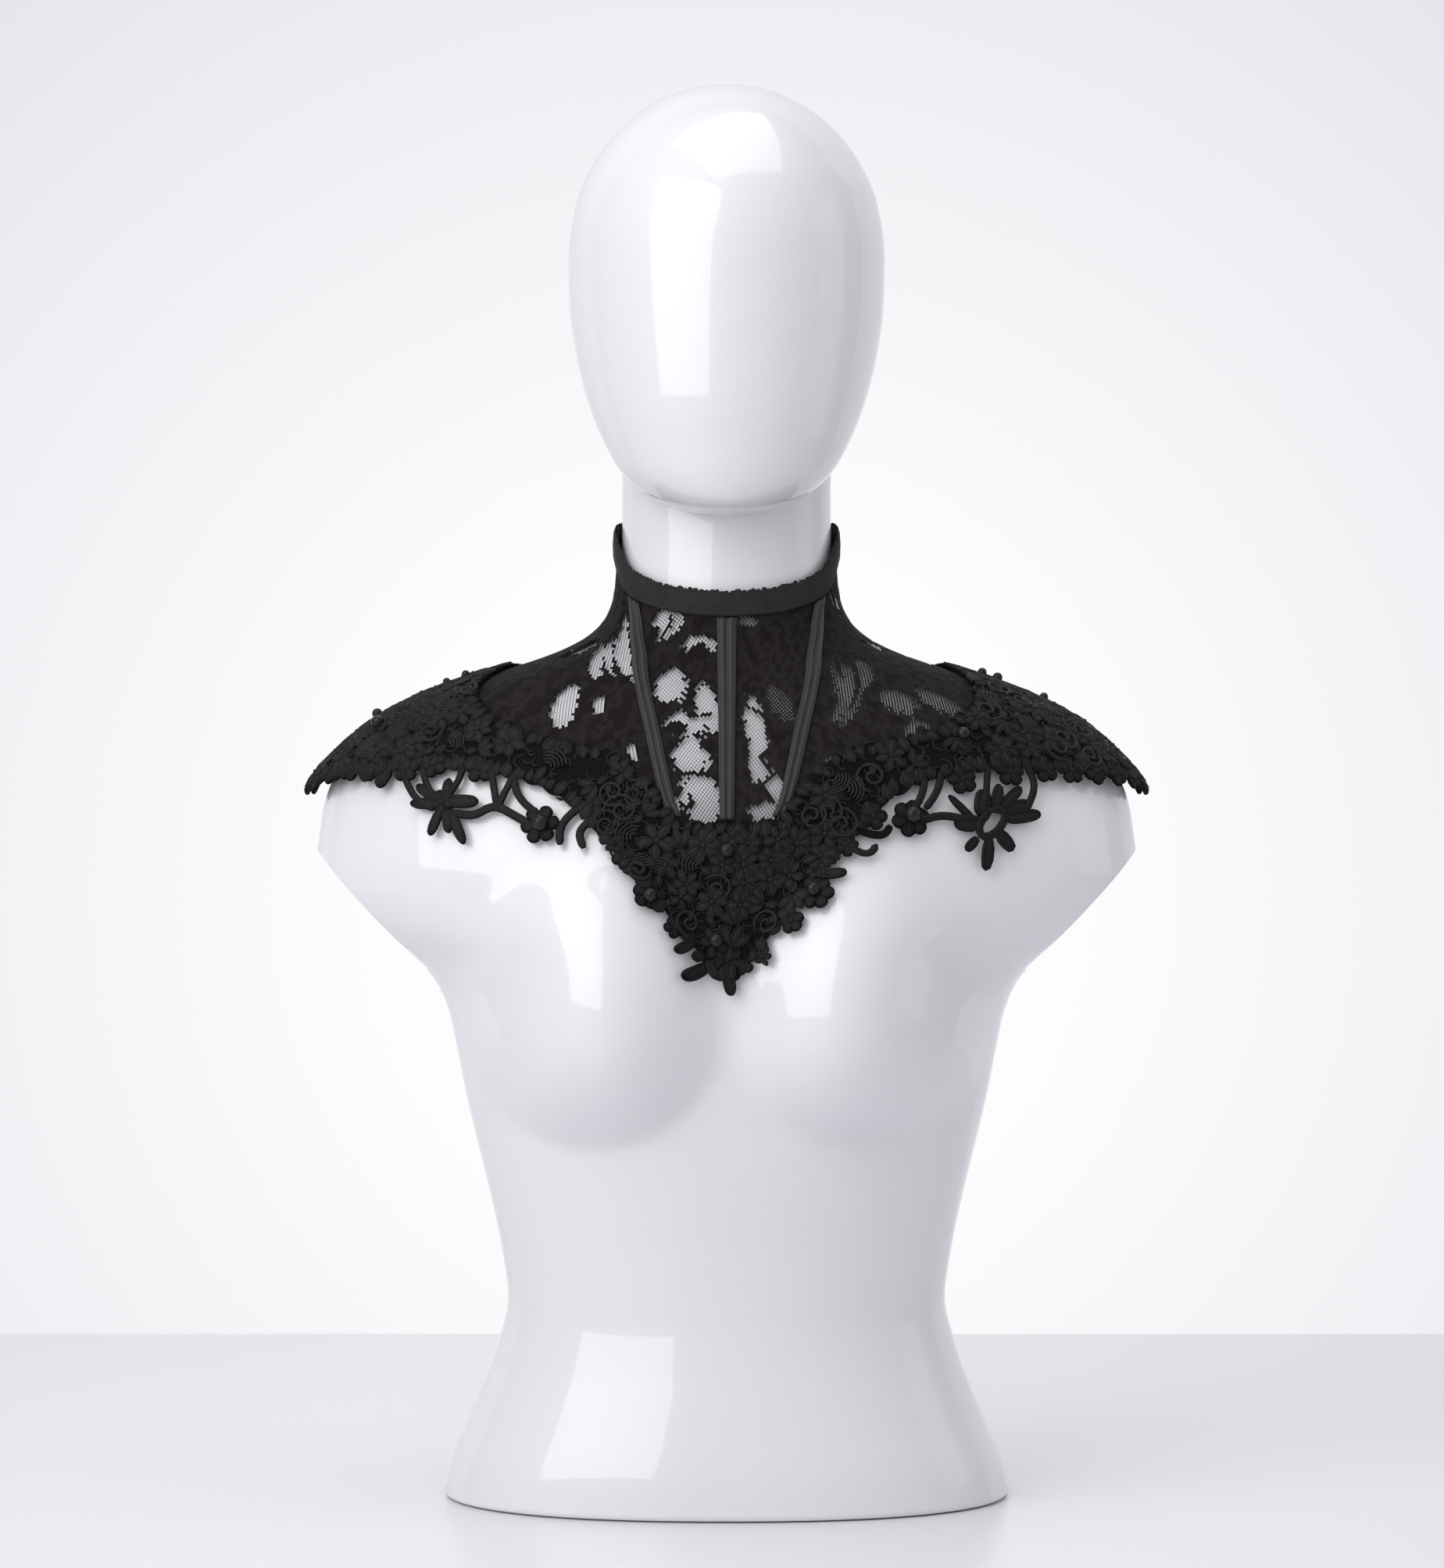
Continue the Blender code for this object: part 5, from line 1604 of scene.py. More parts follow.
# angle, path, radius
PEARLS = (
    (0.0, 139.0, 3.5), (-2.0, 181.0, 3.4), (-25.5, 147.0, 3.9), (-11.5, 168.0, 3.4),
    (12.6, 166.5, 3.4), (25.5, 143.0, 3.9), (38.0, 119.0, 3.2), (-72.0, 161.0, 3.4),
    (-86.0, 130.0, 1.9), (-86.0, 120.0, 2.1), (-88.0, 168.0, 2.6), (88.0, 118.0, 2.3),
    (88.0, 126.0, 2.5), (89.0, 151.0, 2.2),
)
FLAT_TURN = 2.5


class Plan:
    """The flat plan of one guipure piece: its outlines, its gaps and its seams."""

    def __init__(self, surface: Surface, first: Edge, last: Edge) -> None:
        """Starts empty between two seams."""
        self.surface = surface
        self.first, self.last = first, last
        self.spots: list[Vector] = []
        self.faces: list[list[int]] = []
        self.solid: set[int] = set()
        self.open: set[int] = set()

    def inside(self, angle: float, margin: float = 4.0) -> bool:
        """Whether a motif at an angle touches this piece."""
        return self.first(120.0) - margin < angle < self.last(120.0) + margin

    def outline(self, places: np.ndarray, kind: set[int]) -> None:
        """Adds one closed outline, given as rows of angle and path."""
        flat = places * (FLAT_TURN, 1)
        after = np.roll(flat, -1, axis=0)
        if (flat[:, 0] * after[:, 1] - after[:, 0] * flat[:, 1]).sum() < 0:
            flat = flat[::-1]
        kind.add(len(self.faces))
        self.faces.append(list(range(len(self.spots), len(self.spots) + len(flat))))
        self.spots += [Vector(spot) for spot in flat]

    def shape(
        self, place: Place, across: np.ndarray, down: np.ndarray, kind: Optional[set[int]] = None,
    ) -> None:
        """Adds an outline given in local millimetres round a place."""
        angle, path = self.surface.laid(*place, across, down)
        self.outline(np.stack([angle, path], axis=-1), self.solid if kind is None else kind)

    def sheet(self) -> bmesh.types.BMesh:
        """The plan's kept triangles as one flat patch of x = angle, y = path."""
        paths = np.linspace(60.0, 270.0, 60)
        limits: set[int] = set()
        border = [(self.first(p), p) for p in paths] + [(self.last(p), p) for p in paths[::-1]]
        self.outline(np.array(border), limits)
        low, high = self.first(150.0), self.last(150.0)
        for row, path in enumerate(np.arange(84.0, 222.0, 4.0)):
            length = float(self.surface.steps((low + high) / 2, path)[0])
            step = 4.5 / length
            self.spots += [
                Vector((a * FLAT_TURN, path))
                for a in np.arange(low + row % 2 * step / 2, high, step)
            ]
        found = delaunay_2d_cdt(self.spots, [], self.faces, 0, 0.02)
        shape = bmesh.new()
        verts = [shape.verts.new((spot.x / FLAT_TURN, spot.y, 0)) for spot in found[0]]
        for face, owner in zip(found[2], found[5]):
            owners = set(owner)
            if owners & limits and owners & self.solid and not owners & self.open:
                shape.faces.new([verts[i] for i in face])
        bmesh.ops.delete(shape, geom=[v for v in verts if not v.link_faces], context="VERTS")
        self.keep_largest(shape)
        return shape

    @staticmethod
    def keep_largest(shape: bmesh.types.BMesh) -> None:
        """Leaves only the largest patch of faces joined by their edges."""
        left = set(shape.faces)
        patches = []
        while left:
            ready = [left.pop()]
            patch = set(ready)
            while ready:
                for edge in ready.pop().edges:
                    for face in edge.link_faces:
                        if face in left:
                            left.remove(face)
                            patch.add(face)
                            ready.append(face)
            patches.append(patch)
        best = max(patches, key=len)
        bmesh.ops.delete(
            shape, geom=[f for p in patches if p is not best for f in p], context="FACES"
        )


@dataclass
class GuipurePiece:
    """One piece of heavy corded lace: a dense ground with raised cords and petals."""

    name: str
    node: str
    first: Edge
    last: Edge
    start: float
    end: float
    cut: tuple[float, float]
    cut_area: float
    seed: int
    ground_wall: float = 1.1
    curl_step: float = 5.2
    spray_step: float = 11.5
    random: np.random.Generator = field(init=False)

    def __post_init__(self) -> None:
        """Starts the piece's own run of random numbers."""
        self.random = np.random.default_rng(self.seed)

    @property
    def middle(self) -> float:
        """The angle half way between the piece's two ends."""
        return (self.start + self.end) / 2

    def edge(self, angle: float, column: int) -> float:
        """The path of the ground's upper (1) or lower (2) edge at an angle."""
        return float(on_table(APPLIQUE_EDGES, abs(angle), column))

    def back_edge(self, surface: Surface) -> list[Finger | Bloom]:
        """The flowers and slender petals, by turns, behind the shoulders.

        Args:
            surface: the surface that they lie on.

        Returns:
            The motifs of both sides.
        """
        motifs = []
        for side in (-1, 1):
            angle, number = 93.0, 0
            while angle < 176:
                path = self.edge(angle, 2)
                down = self.edge(angle + 1, 2) - path
                along = math.hypot(float(surface.steps(side * angle, path)[0]), down)
                if number % 2:
                    root = (side * angle, path - 3)
                    tip = surface.laid(*root, 0.0, 13.5)
                    motifs.append(Finger(root, (float(tip[0]), float(tip[1])), 6.0))
                else:
                    turn = -side * math.degrees(math.atan2(down, along))
                    motifs.append(Bloom(side * angle, path + 1, 6.8, 5, turn, 5.2, False))
                angle += 9.0 / along
                number += 1
        return motifs

    def plan(self, surface: Surface) -> Plan:
        """The piece's flat plan."""
        plan = Plan(surface, self.first, self.last)
        count = max(40, round((self.end - self.start) * 2.0))
        turns = np.linspace(self.start - 1.5, self.end + 1.5, count)
        upper = np.array(
            [(a, self.edge(a, 1) + 1.4 * math.sin(a * 1.9) + 0.8 * math.sin(a * 4.3))
            for a in turns]
        )
        lower = np.array(
            [(a, self.edge(a, 2) + 2.2 * abs(math.sin(a * 0.95)) - 0.8)
            for a in turns[::-1]]
        )
        plan.outline(np.concatenate([upper, lower]), plan.solid)
        for motif in (*BLOOMS, *FINGERS, *STRANDS, *self.back_edge(surface)):
            if plan.inside(motif.angle):
                motif.outline(plan)
        for angle, path, length, width, turn in GAPS:
            if plan.inside(angle, -1.0):
                ring = np.linspace(0, 2 * math.pi, 14, endpoint=False)
                spots = turned(width / 2 * np.sin(ring), length / 2 * np.cos(ring), turn)
                plan.shape((angle, path), *spots, plan.open)
        return plan

    def ground(self, surface: Surface) -> bpy.types.Mesh:
        """The dense ground as a closed sheet of even thickness."""
        shape = self.plan(surface).sheet()
        inner = list(shape.verts)
        places = np.array([vert.co.to_2d() for vert in inner])
        grown = bmesh.ops.extrude_face_region(shape, geom=shape.faces[:], use_keep_orig=True)
        outer = [part for part in grown["geom"] if isinstance(part, bmesh.types.BMVert)]
        far = np.array([vert.co.to_2d() for vert in outer])
        wobble = 0.18 * np.sin(far[:, 0] * 3.7 + far[:, 1] * 0.9) * np.sin(far[:, 1] * 1.3)
        top = surface.place(far[:, 0], far[:, 1], APPLIQUE_FOOT + self.ground_wall + wobble)
        low = surface.place(places[:, 0], places[:, 1], np.full(len(places), APPLIQUE_FOOT))
        for vert, point in zip(inner + outer, (*low, *top)):
            vert.co = point
        return mesh_of(shape, f"{self.name}_ground", outward=True)

    def spray(self, relief: Relief, place: Place, kind: int, size: float) -> None:
        """Adds one group of petals, cords or leaves.

        Args:
            relief: where it is gathered.
            place: its centre.
            kind: which of the groups.
            size: how far it reaches in millimetres.
        """
        turn = float(self.random.uniform(0, 360))
        lift = float(self.random.uniform(0.2, 0.7))
        if kind == 0:
            petals = int(self.random.integers(5, 8))
            for i in range(petals):
                lean = turn + 360 * i / petals + float(self.random.uniform(-9, 9))
                long = size * float(self.random.uniform(0.86, 1.08))
                relief.motif(
                    Motif.PETAL, place, lean, long, 0.62 * size, 1.1, lift + 0.15 * (i % 3)
                )
            relief.motif(
                Motif.BUTTON, relief.shifted(place, turn, -0.16 * size), turn, 0.32 * size,
                0.32 * size, 1.3, lift + 0.5,
            )
        elif kind == 1:
            for i in range(5):
                self.arc(relief, place, turn, size * (0.24 + 0.19 * i), 72 - 5 * i, 1.35, lift)
            relief.motif(Motif.LEAF, place, turn + 180, 0.9 * size, 0.5 * size, 1.0, lift)
        elif kind == 2:
            sweep = np.linspace(0.4, 10.0, 22)
            radius = size * (0.1 + 0.083 * sweep)
            relief.curve(place, radius, sweep + math.radians(turn), 1.7, 1.1, lift)
            relief.motif(Motif.PETAL, place, turn + 30, 0.8 * size, 0.5 * size, 0.7, lift)
        else:
            for lean in (-40, 0, 40):
                relief.motif(
                    Motif.LEAF, place, turn + lean, 1.2 * size, 0.54 * size, 1.05, lift + 0.1
                )
            relief.motif(Motif.LEAF, place, turn + 180, 0.9 * size, 0.5 * size, 0.95, lift)

    def arc(
        self, relief: Relief, place: Place, turn: float, radius: float, reach: float, width: float,
        lift: float,
    ) -> None:
        """Adds one curved cord.

        Args:
            relief: where it is gathered.
            place: the centre that it curves round.
            turn: degrees from straight down towards +X to its middle.
            radius: its radius in millimetres.
            reach: degrees to each side of its middle.
            width: its width in millimetres.
            lift: how far it is raised.
        """
        sweep = np.radians(turn + np.linspace(-reach, reach, 9))
        relief.curve(place, radius, sweep, width, EDGE_HEIGHT, lift)

    def scatter(
        self, surface: Surface, step: float, jitter: float,
    ) -> list[tuple[float, float, float]]:
        """Spreads places evenly over the ground.

        Args:
            surface: the surface.
            step: millimetres between them.
            jitter: how far each may stray, as a share of the step.

        Returns:
            Rows of angle, path and millimetres to the nearest edge.
        """
        found = []
        for row, path in enumerate(np.arange(82.0, 220.0, step * 0.8)):
            turn = step / float(surface.steps(self.middle, path)[0])
            for angle in np.arange(self.start + turn * (0.3 + 0.5 * (row % 2)), self.end, turn):
                shift = self.random.uniform(-jitter, jitter, 2)
                spot, line = float(angle + shift[0] * turn), float(path + shift[1] * step)
                away = min(line - self.edge(spot, 1), self.edge(spot, 2) - line)
                side = min(spot - self.start, self.end - spot) * step / turn
                if away > 0 and side > 1.5:
                    found.append((spot, line, away))
        return found

    def field(self, surface: Surface, relief: Relief) -> None:
        """Covers the ground with curled cords, and those with sprays."""
        for angle, path, away in self.scatter(surface, self.curl_step, 0.35):
            if away > 2.2:
                turn = float(self.random.uniform(0, 360))
                radius = float(self.random.uniform(1.6, 4.2))
                self.arc(
                    relief, (angle, path), turn, radius, float(self.random.uniform(60, 130)), 1.3,
                    -0.25,
                )
        for angle, path, away in self.scatter(surface, self.spray_step, 0.2):
            if away > 4.2:
                kind = int(self.random.choice(4, p=(0.42, 0.22, 0.14, 0.22)))
                self.spray(
                    relief, (angle, path), kind,
                    min(away + 0.8, float(self.random.uniform(7.5, 9.8))),
                )

    def rims(self, surface: Surface, relief: Relief) -> None:
        """Sets uneven petals along the upper and lower edges."""
        for column, turn in ((1, 180.0), (2, 0.0)):
            angle = self.start + 0.8
            while angle < self.end - 0.5:
                path = self.edge(angle, column)
                rise = self.edge(angle + 0.5, column) - self.edge(angle - 0.5, column)
                length = float(surface.steps(angle, path)[0])
                lean = -math.degrees(math.atan2(rise, length))
                size = float(self.random.uniform(5.8, 9.6))
                down = (size - 0.6) * (1 if column == 1 else -1) * math.cos(math.radians(lean))
                root = surface.laid(angle, path, 0.0, down)
                wide = size * float(self.random.uniform(0.55, 0.85))
                away = turn + lean + float(self.random.uniform(-32, 32))
                kind = Motif.PETAL if self.random.random() < 0.75 else Motif.LEAF
                lift = float(self.random.uniform(0.0, 0.5))
                relief.motif(kind, (float(root[0]), float(root[1])), away, size, wide, 1.0, lift)
                angle += wide * float(self.random.uniform(0.75, 1.15)) / math.hypot(length, rise)

    def edge_motifs(self, surface: Surface, relief: Relief, plan: Plan) -> None:
        """Raises the petals, fingers and braids of the free edge."""
        edges = ((0.0, (*BLOOMS, *FINGERS, *STRANDS)), (-1.0, self.back_edge(surface)))
        for margin, motifs in edges:
            for motif in motifs:
                if plan.inside(motif.angle, margin):
                    motif.emboss(relief)

    def build(
        self, surface: Surface, shop: Workshop, under: Sequence[bpy.types.Object],
    ) -> bpy.types.Object:
        """Makes the piece.

        Args:
            surface: the surface that it lies on.
            shop: where the finishes come from.
            under: what it is sewn to; not used.

        Returns:
            The ground.
        """
        plan = self.plan(surface)
        ground = shop.dress(self.ground(surface), GUIPURE_BASE, self.node)
        ground.data.set_sharp_from_angle(angle=math.radians(50))
        relief = Relief(surface, APPLIQUE_FOOT + self.ground_wall)
        self.field(surface, relief)
        self.rims(surface, relief)
        self.edge_motifs(surface, relief, plan)
        raised = shop.dress(relief.mesh(f"{self.name}_cords"), GUIPURE_CORD)
        list(under)
        return ground


def guipure_pieces(surface: Surface) -> list[GuipurePiece]:
    """The five pieces of heavy lace."""
    half = SEAM_GAP / 2

    def seam(angle: float, distance: float) -> Edge:
        return lambda path: surface.beside(angle, path, distance)

    front, side, back = APPLIQUE_SEAM, APPLIQUE_SIDE, APPLIQUE_BACK_EDGE
    shoulder_cut, back_cut = ((0.225, 0.135), 0.0128), ((0.215, 0.120), 0.0123)
    rows = (
        ("front", (-front, half), (front, -half), (-front, front), ((0.125, 0.120), 0.0077), 3),
        ("shoulder_left", (-side, half), (-front, -half), (-side, -front), shoulder_cut, 5),
        ("shoulder_right", (front, half), (side, -half), (front, side), shoulder_cut, 8),
        ("back_left", (-180.0, back), (-side, -half), (-176.0, -side), back_cut, 13),
        ("back_right", (side, half), (180.0, -back), (side, 176.0), back_cut, 21),
    )
    return [
        GuipurePiece(
            f"guipure_{name}", f"applique_{name}", seam(*first), seam(*last), *reach, *cut, seed
        )
        for name, first, last, reach, cut, seed in rows
    ]


@dataclass
class BoneChannel:
    """A satin ribbon with two boned tunnels, stitched down on both sides."""

    name: str
    node: str
    middle: Edge
    start: float = 12.8
    end: float = 123.5
    width: tuple[float, float] = (9.5, 7.0)
    cut: tuple[float, float] = (0.0115, 0.113)

    PROFILE = (
        (-0.5, 0.30), (-0.43, 0.42), (-0.39, 0.55), (-0.33, 1.35), (-0.22, 1.72), (-0.11, 1.35),
        (-0.05, 0.55), (0.0, 0.45), (0.05, 0.55), (0.11, 1.35), (0.22, 1.72), (0.33, 1.35),
        (0.39, 0.55), (0.43, 0.42), (0.5, 0.30),
    )

    def build(
        self, surface: Surface, shop: Workshop, under: Sequence[bpy.types.Object],
    ) -> bpy.types.Object:
        """Makes the channel with its stitches.

        Args:
            surface: the surface that it lies on.
            shop: where the finishes come from.
            under: what it is sewn to; not used.

        Returns:
            The channel's object.
        """

        def beside(path: float, distance: float) -> float:
            return surface.beside(self.middle(path), path, distance)

        ribbon = Ribbon(self.name, beside, self.start, self.end, self.width, self.PROFILE, 60)
        piece = shop.dress(ribbon.mesh(surface), SATIN, self.node)
        relief = Relief(surface, LACE_WALL + TRIM_GAP)
        for path in np.arange(self.start + 1.5, self.end - 1.5, 2.6):
            width = np.interp(path, (self.start, self.end), self.width)
            slope = (self.middle(path + 1) - self.middle(path)) * float(
                surface.steps(self.middle(path), path)[0]
            )
            turn = -math.degrees(math.atan2(slope, -1.0)) + 180
            for share, out in ((-0.41, 0.42), (0.0, 0.40), (0.41, 0.42)):
                relief.motif(
                    Motif.STITCH, (beside(path, share * width), float(path)), turn, 1.7, 0.34,
                    0.22, out,
                )
        stitches = shop.dress(relief.mesh(f"{self.name}_stitches"), THREAD)
        list(under)
        return piece


@dataclass
class TopBand:
    """The ribbon round the collar's top edge, with its picot edge."""

    height: float = 12.0
    cut: tuple[float, float] = (0.348, 0.012)
    picot_step: float = 2.7

    PROFILE = (
        (0.0, 0.5), (0.03, 1.0), (0.10, 1.25), (0.16, 1.05), (0.22, 1.3), (0.5, 1.5),
        (0.78, 1.3), (0.84, 1.0), (0.90, 1.25), (0.97, 1.0), (1.0, 0.5),
    )

    def mesh(self, surface: Surface) -> bpy.types.Mesh:
        """The band's closed mesh, with a slightly rippled upper edge."""
        shape = bmesh.new()
        columns, rows = 300, len(self.PROFILE) - 1
        bmesh.ops.create_grid(shape, x_segments=columns, y_segments=rows, size=0.5)
        spots, outer = thickened(shape)
        row = np.round(spots[:, 1] * rows).astype(int)
        share, heights = np.array(self.PROFILE).T
        edge = np.array([surface.beside(180.0, p, -BACK_EDGE) for p in share * self.height])[row]
        angle = edge * (2 * spots[:, 0] - 1)
        path = share[row] * self.height + np.where(
            row == 0, 0.35 * np.sin(angle * 2.2) * np.sin(angle * 0.7), 0
        )
        points = surface.place(
            angle, path, LACE_WALL + TRIM_GAP + np.where(outer, heights[row], 0)
        )
        place_verts(shape, points, np.stack([angle * 0.96, path], axis=-1))
        return mesh_of(shape, "top_band_ribbon", outward=True)

    def picots(self, surface: Surface) -> bpy.types.Mesh:
        """The small uneven loops that stand up along the top edge."""
        relief = Relief(surface, LACE_WALL + TRIM_GAP)
        random = np.random.default_rng(34)
        angle = -178.0
        while angle < 178.0:
            length = float(surface.steps(angle, 0.5)[0])
            wide = float(random.uniform(2.2, 3.6))
            tall = float(random.uniform(2.0, 3.2))
            relief.motif(
                Motif.BUTTON, (angle, 1.4), 180.0 + float(random.uniform(-14, 14)), tall, wide,
                0.7, 0.25,
            )
            angle += self.picot_step * float(random.uniform(0.75, 1.2)) / length
        return relief.mesh("top_band_picots")

    def build(
        self, surface: Surface, shop: Workshop, under: Sequence[bpy.types.Object],
    ) -> bpy.types.Object:
        """Makes the band.

        Args:
            surface: the surface that it lies on.
            shop: where the finishes come from.
            under: what it is sewn to; not used.

        Returns:
            The band's object.
        """
        band = shop.dress(self.mesh(surface), MATT_BAND, "top_band")
        picots = shop.dress(self.picots(surface), MATT_BAND)
        list(under)
        return band


@dataclass
class BackOpening:
    """The facings of the centre-back opening, with their hooks and eyes."""

    middle: float = 6.6
    width: float = 11.4
    start: float = 13.0
    end: float = 133.0
    hook_step: float = 13.0
    wire: float = 0.45

    def facing(self, side: int, surface: Surface) -> bpy.types.Mesh:
        """One facing strip, on the left (-1) or the right (1)."""

        def beside(path: float, distance: float) -> float:
            return side * surface.beside(180.0, path, -(self.middle + distance))

        profile = (
            (-0.5, 0.6), (-0.45, 1.1), (-0.36, 0.9), (0.0, 1.2), (0.36, 0.9), (0.45, 1.1),
            (0.5, 0.6)
        )
        name = f"back_facing_{'left' if side < 0 else 'right'}"
        ribbon = Ribbon(name, beside, self.start, self.end, (self.width, self.width), profile, 50)
        return ribbon.mesh(surface)

    def wires(self, surface: Surface) -> bpy.types.Mesh:
        """The hooks on one side and the eyes on the other, bent from wire."""
        relief = Relief(surface, LACE_WALL + TRIM_GAP + 1.2)
        for path in np.arange(self.start + 6, self.end - 4, self.hook_step):
            sweep = np.linspace(0, 2 * math.pi, 15)
            for side in (-1, 1):
                reach = 2.2 if side < 0 else 1.4
                centre = surface.beside(180.0, float(path), -3.6)
                across, down = side * -reach * np.sin(sweep / 2) ** 2 * 1.6, 1.7 * np.sin(sweep)
                angle, line = surface.laid(side * centre, float(path), across, down)
                places = np.stack([np.clip(angle, -179.9, 179.9), line], axis=-1)
                relief.cord(places, 2 * self.wire, self.wire * 1.4)
        return relief.mesh("back_hooks_and_eyes")

    def build(self, surface: Surface, shop: Workshop, under: Sequence[bpy.types.Object]) -> None:
        """Makes the facings and their fasteners.

        Args:
            surface: the surface that they lie on.
            shop: where the finishes come from.
            under: the left and the right panel that they are sewn to; not used.
        """
        for side, node, panel in (
            (-1, "back_placket_left", under[0]), (1, "back_placket_right", under[1])
        ):
            piece = shop.dress(self.facing(side, surface), MATT_BAND, node)
        shop.dress(self.wires(surface), BLACK_WIRE)


@dataclass
class Pearls:
    """The dark pearls sewn on the heavy lace."""

    rise: float = 0.55

    def mesh(self, surface: Surface) -> bpy.types.Mesh:
        """All the pearls as one mesh."""
        shape = bmesh.new()
        for angle, path, radius in PEARLS:
            foot = APPLIQUE_FOOT + 1.1 + radius * self.rise + 0.6
            centre = surface.place(np.array([angle]), np.array([path]), np.array([foot]))[0]
            bmesh.ops.create_uvsphere(
                shape, u_segments=28, v_segments=18, radius=radius * MM,
                matrix=Matrix.Translation(Vector(centre)),
            )
        return mesh_of(shape, "pearls")

    def build(self, surface: Surface, shop: Workshop) -> bpy.types.Object:
        """Makes the pearls."""
        return shop.dress(self.mesh(surface), PEARL)


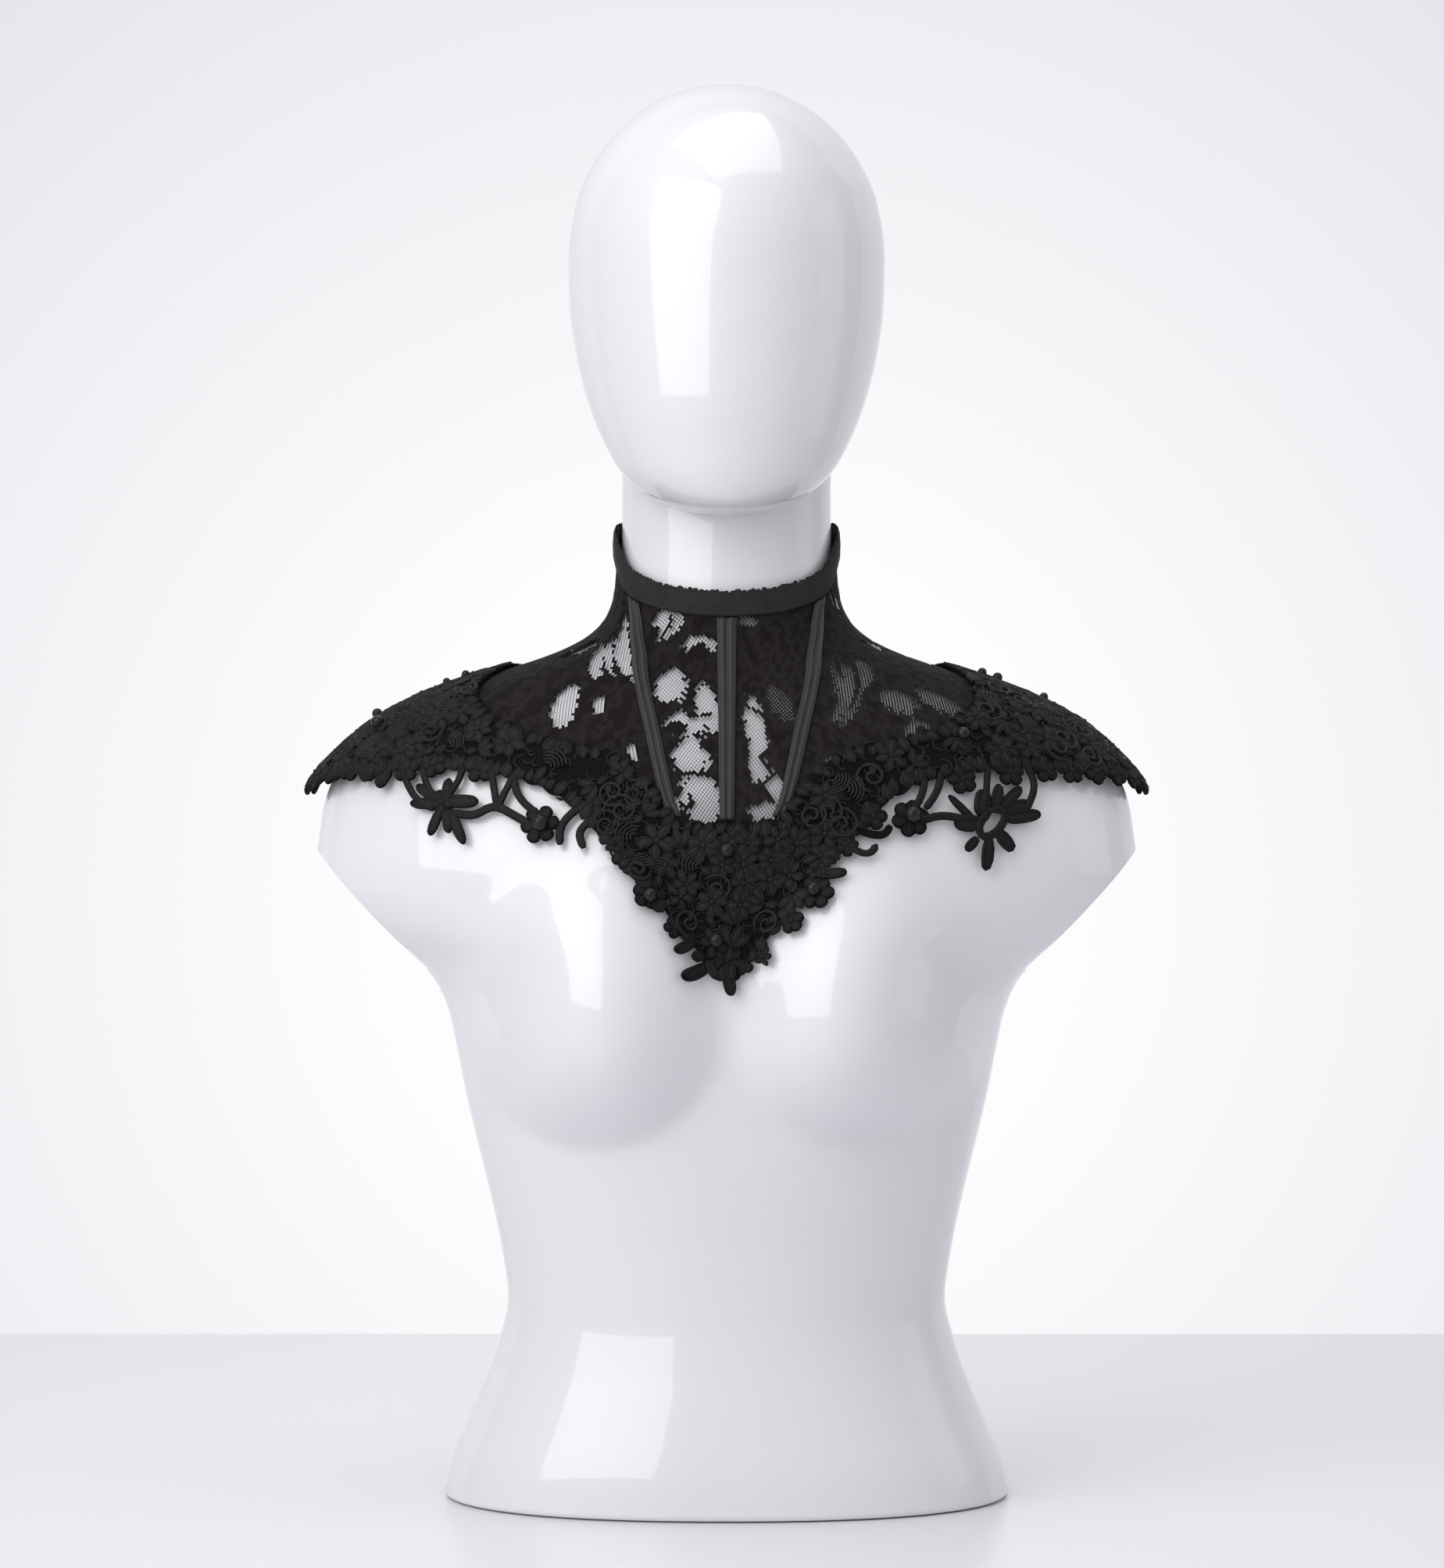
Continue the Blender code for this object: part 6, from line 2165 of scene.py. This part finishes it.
@dataclass
class Studio:
    """The white table, the bright backdrop, the lamps and the camera."""

    table_back: float = 0.669
    camera_height: float = 0.352
    camera_distance: float = 2.3
    lens: float = 105.9

    def plain(self, name: str, colour: Colour, roughness: float) -> bpy.types.Material:
        """A quiet material for the surroundings.

        Args:
            name: its name.
            colour: its colour.
            roughness: its roughness.

        Returns:
            The material.
        """
        made = bpy.data.materials.new(name)
        made.use_nodes = True
        shader = made.node_tree.nodes["Principled BSDF"]
        set_sockets(shader, {"Base Color": (*colour, 1), "Roughness": roughness})
        return made

    def backdrop_glow(self) -> bpy.types.Material:
        """Painted light: a glowing backdrop, white in the middle and dimmer, faintly lilac, towards the
        edges.
        """
        made = bpy.data.materials.new("backdrop_painted_glow")
        made.use_nodes = True
        tree = made.node_tree
        tree.nodes.clear()
        out = tree.nodes.new("ShaderNodeOutputMaterial")
        glow = tree.nodes.new("ShaderNodeEmission")
        ramp = tree.nodes.new("ShaderNodeValToRGB")
        ball = tree.nodes.new("ShaderNodeTexGradient")
        ball.gradient_type = "SPHERICAL"
        lay = add_node(tree, "Mapping", Location=(0.0, 0.0, -0.126), Scale=(0.59, 0.0, 0.59))
        where = tree.nodes.new("ShaderNodeTexCoord")
        # painted light: the glow falls off from white in the middle to a dimmer lilac at the edges
        shades = ((0.10, (0.78, 0.765, 0.82, 1)), (0.74, (0.98, 0.98, 0.99, 1)))
        for stop, (position, colour) in zip(ramp.color_ramp.elements, shades):
            stop.position, stop.color = position, colour
        tree.links.new(where.outputs["Object"], lay.inputs["Vector"])
        tree.links.new(lay.outputs["Vector"], ball.inputs["Vector"])
        tree.links.new(ball.outputs["Fac"], ramp.inputs["Fac"])
        tree.links.new(ramp.outputs["Color"], glow.inputs["Color"])
        tree.links.new(glow.outputs["Emission"], out.inputs["Surface"])
        return made

    def room(self) -> None:
        """Sets up the table and the backdrop."""
        table = bmesh.new()
        bmesh.ops.create_cube(table, size=1.0)
        bmesh.ops.scale(table, verts=table.verts, vec=(6.0, 2.4, 0.03))
        bmesh.ops.translate(table, verts=table.verts, vec=(0, self.table_back - 1.2, -0.0155))
        wall = bmesh.new()
        bmesh.ops.create_grid(wall, x_segments=2, y_segments=2, size=5.0)
        bmesh.ops.rotate(
            wall, verts=wall.verts, matrix=Matrix.Rotation(math.pi / 2, 4, "X"), cent=(0, 0, 0)
        )
        bmesh.ops.translate(wall, verts=wall.verts, vec=(0, 3.4, 0.6))
        pieces = (
            (table, "table", self.plain("table_laminate", (0.80, 0.79, 0.82), 0.25)),
            (wall, "backdrop", self.backdrop_glow()),
        )
        for shape, name, finish in pieces:
            mesh = mesh_of(shape, name)
            mesh.materials.append(finish)
            made = add_object(name, mesh)

    def lamp(
        self, name: str, place: Vector, aim: Vector, size: tuple[float, float], power: float,
    ) -> None:
        """Sets up one soft box.

        Args:
            name: its name.
            place: where it stands.
            aim: what it points at.
            size: its width and height in metres.
            power: its power in watts.
        """
        light = bpy.data.lights.new(name, "AREA")
        light.shape = "RECTANGLE"
        light.size, light.size_y = size
        light.energy = power
        made = add_object(name, light)
        made.location = place
        made.rotation_euler = (aim - place).to_track_quat("-Z", "Y").to_euler()

    def lamps(self) -> None:
        """Sets up the soft boxes and the light of the room."""
        aim = Vector((0, 0, 0.42))
        boxes = (
            ("key_box", (-1.06, -1.32, 1.31), (1.75, 1.9), 22.5),
            ("fill_box", (1.75, 0.05, 0.85), (0.7, 1.3), 1.2),
            ("top_box", (0.1, -0.2, 2.3), (1.6, 1.6), 12),
        )
        for name, place, size, power in boxes:
            self.lamp(name, Vector(place), aim, size, power)
        world = bpy.data.worlds.new("studio_air")
        bpy.context.scene.world = world
        world.use_nodes = True
        air = world.node_tree.nodes["Background"]
        set_sockets(air, {"Color": (0.90, 0.89, 0.94, 1), "Strength": 0.54})
        bpy.context.scene.view_settings.view_transform = "Standard"

    def camera(self) -> None:
        """Sets up the camera at the photograph's place and angle."""
        lens = bpy.data.cameras.new("camera")
        lens.lens = self.lens
        lens.sensor_width = 36.0
        made = add_object("camera", lens)
        made.location = (-0.0023, -self.camera_distance + SHIFT_Y * MM, self.camera_height)
        made.rotation_euler = (math.pi / 2, 0, 0)
        bpy.context.scene.camera = made

    def build(self) -> None:
        """Sets up the whole studio."""
        self.room()
        self.lamps()
        self.camera()


def main() -> None:
    """Dresses the part, piece by piece."""
    logging.basicConfig(level=logging.INFO, format="%(message)s")
    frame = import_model()
    log.info("%d solids loaded", len(frame["nodes"]))
    surface, shop = Surface(), Workshop()
    design = LaceDesign(surface)
    form = DisplayForm().build(shop)
    panels = [panel.build(surface, design, shop, form[0]) for panel in lace_panels(surface)]
    lines = (
        ("center", lambda path: 0.0, [panels[0], panels[3]]),
        ("left", lambda path: -float(on_table(SIDE_BONE, path)), panels[:2]),
        ("right", lambda path: float(on_table(SIDE_BONE, path)), panels[3:5]),
    )
    for name, middle, under in lines:
        BoneChannel(f"bone_{name}", f"bone_channel_{name}", middle).build(surface, shop, under)
    TopBand().build(surface, shop, panels)
    BackOpening().build(surface, shop, (panels[2], panels[5]))
    sewn_to = (panels[:2] + panels[3:5], panels[1:3], panels[4:], panels[1:3], panels[4:])
    for piece, under in zip(guipure_pieces(surface), sewn_to):
        piece.build(surface, shop, under)
    Pearls().build(surface, shop)
    Studio().build()


if __name__ == "__main__":
    main()
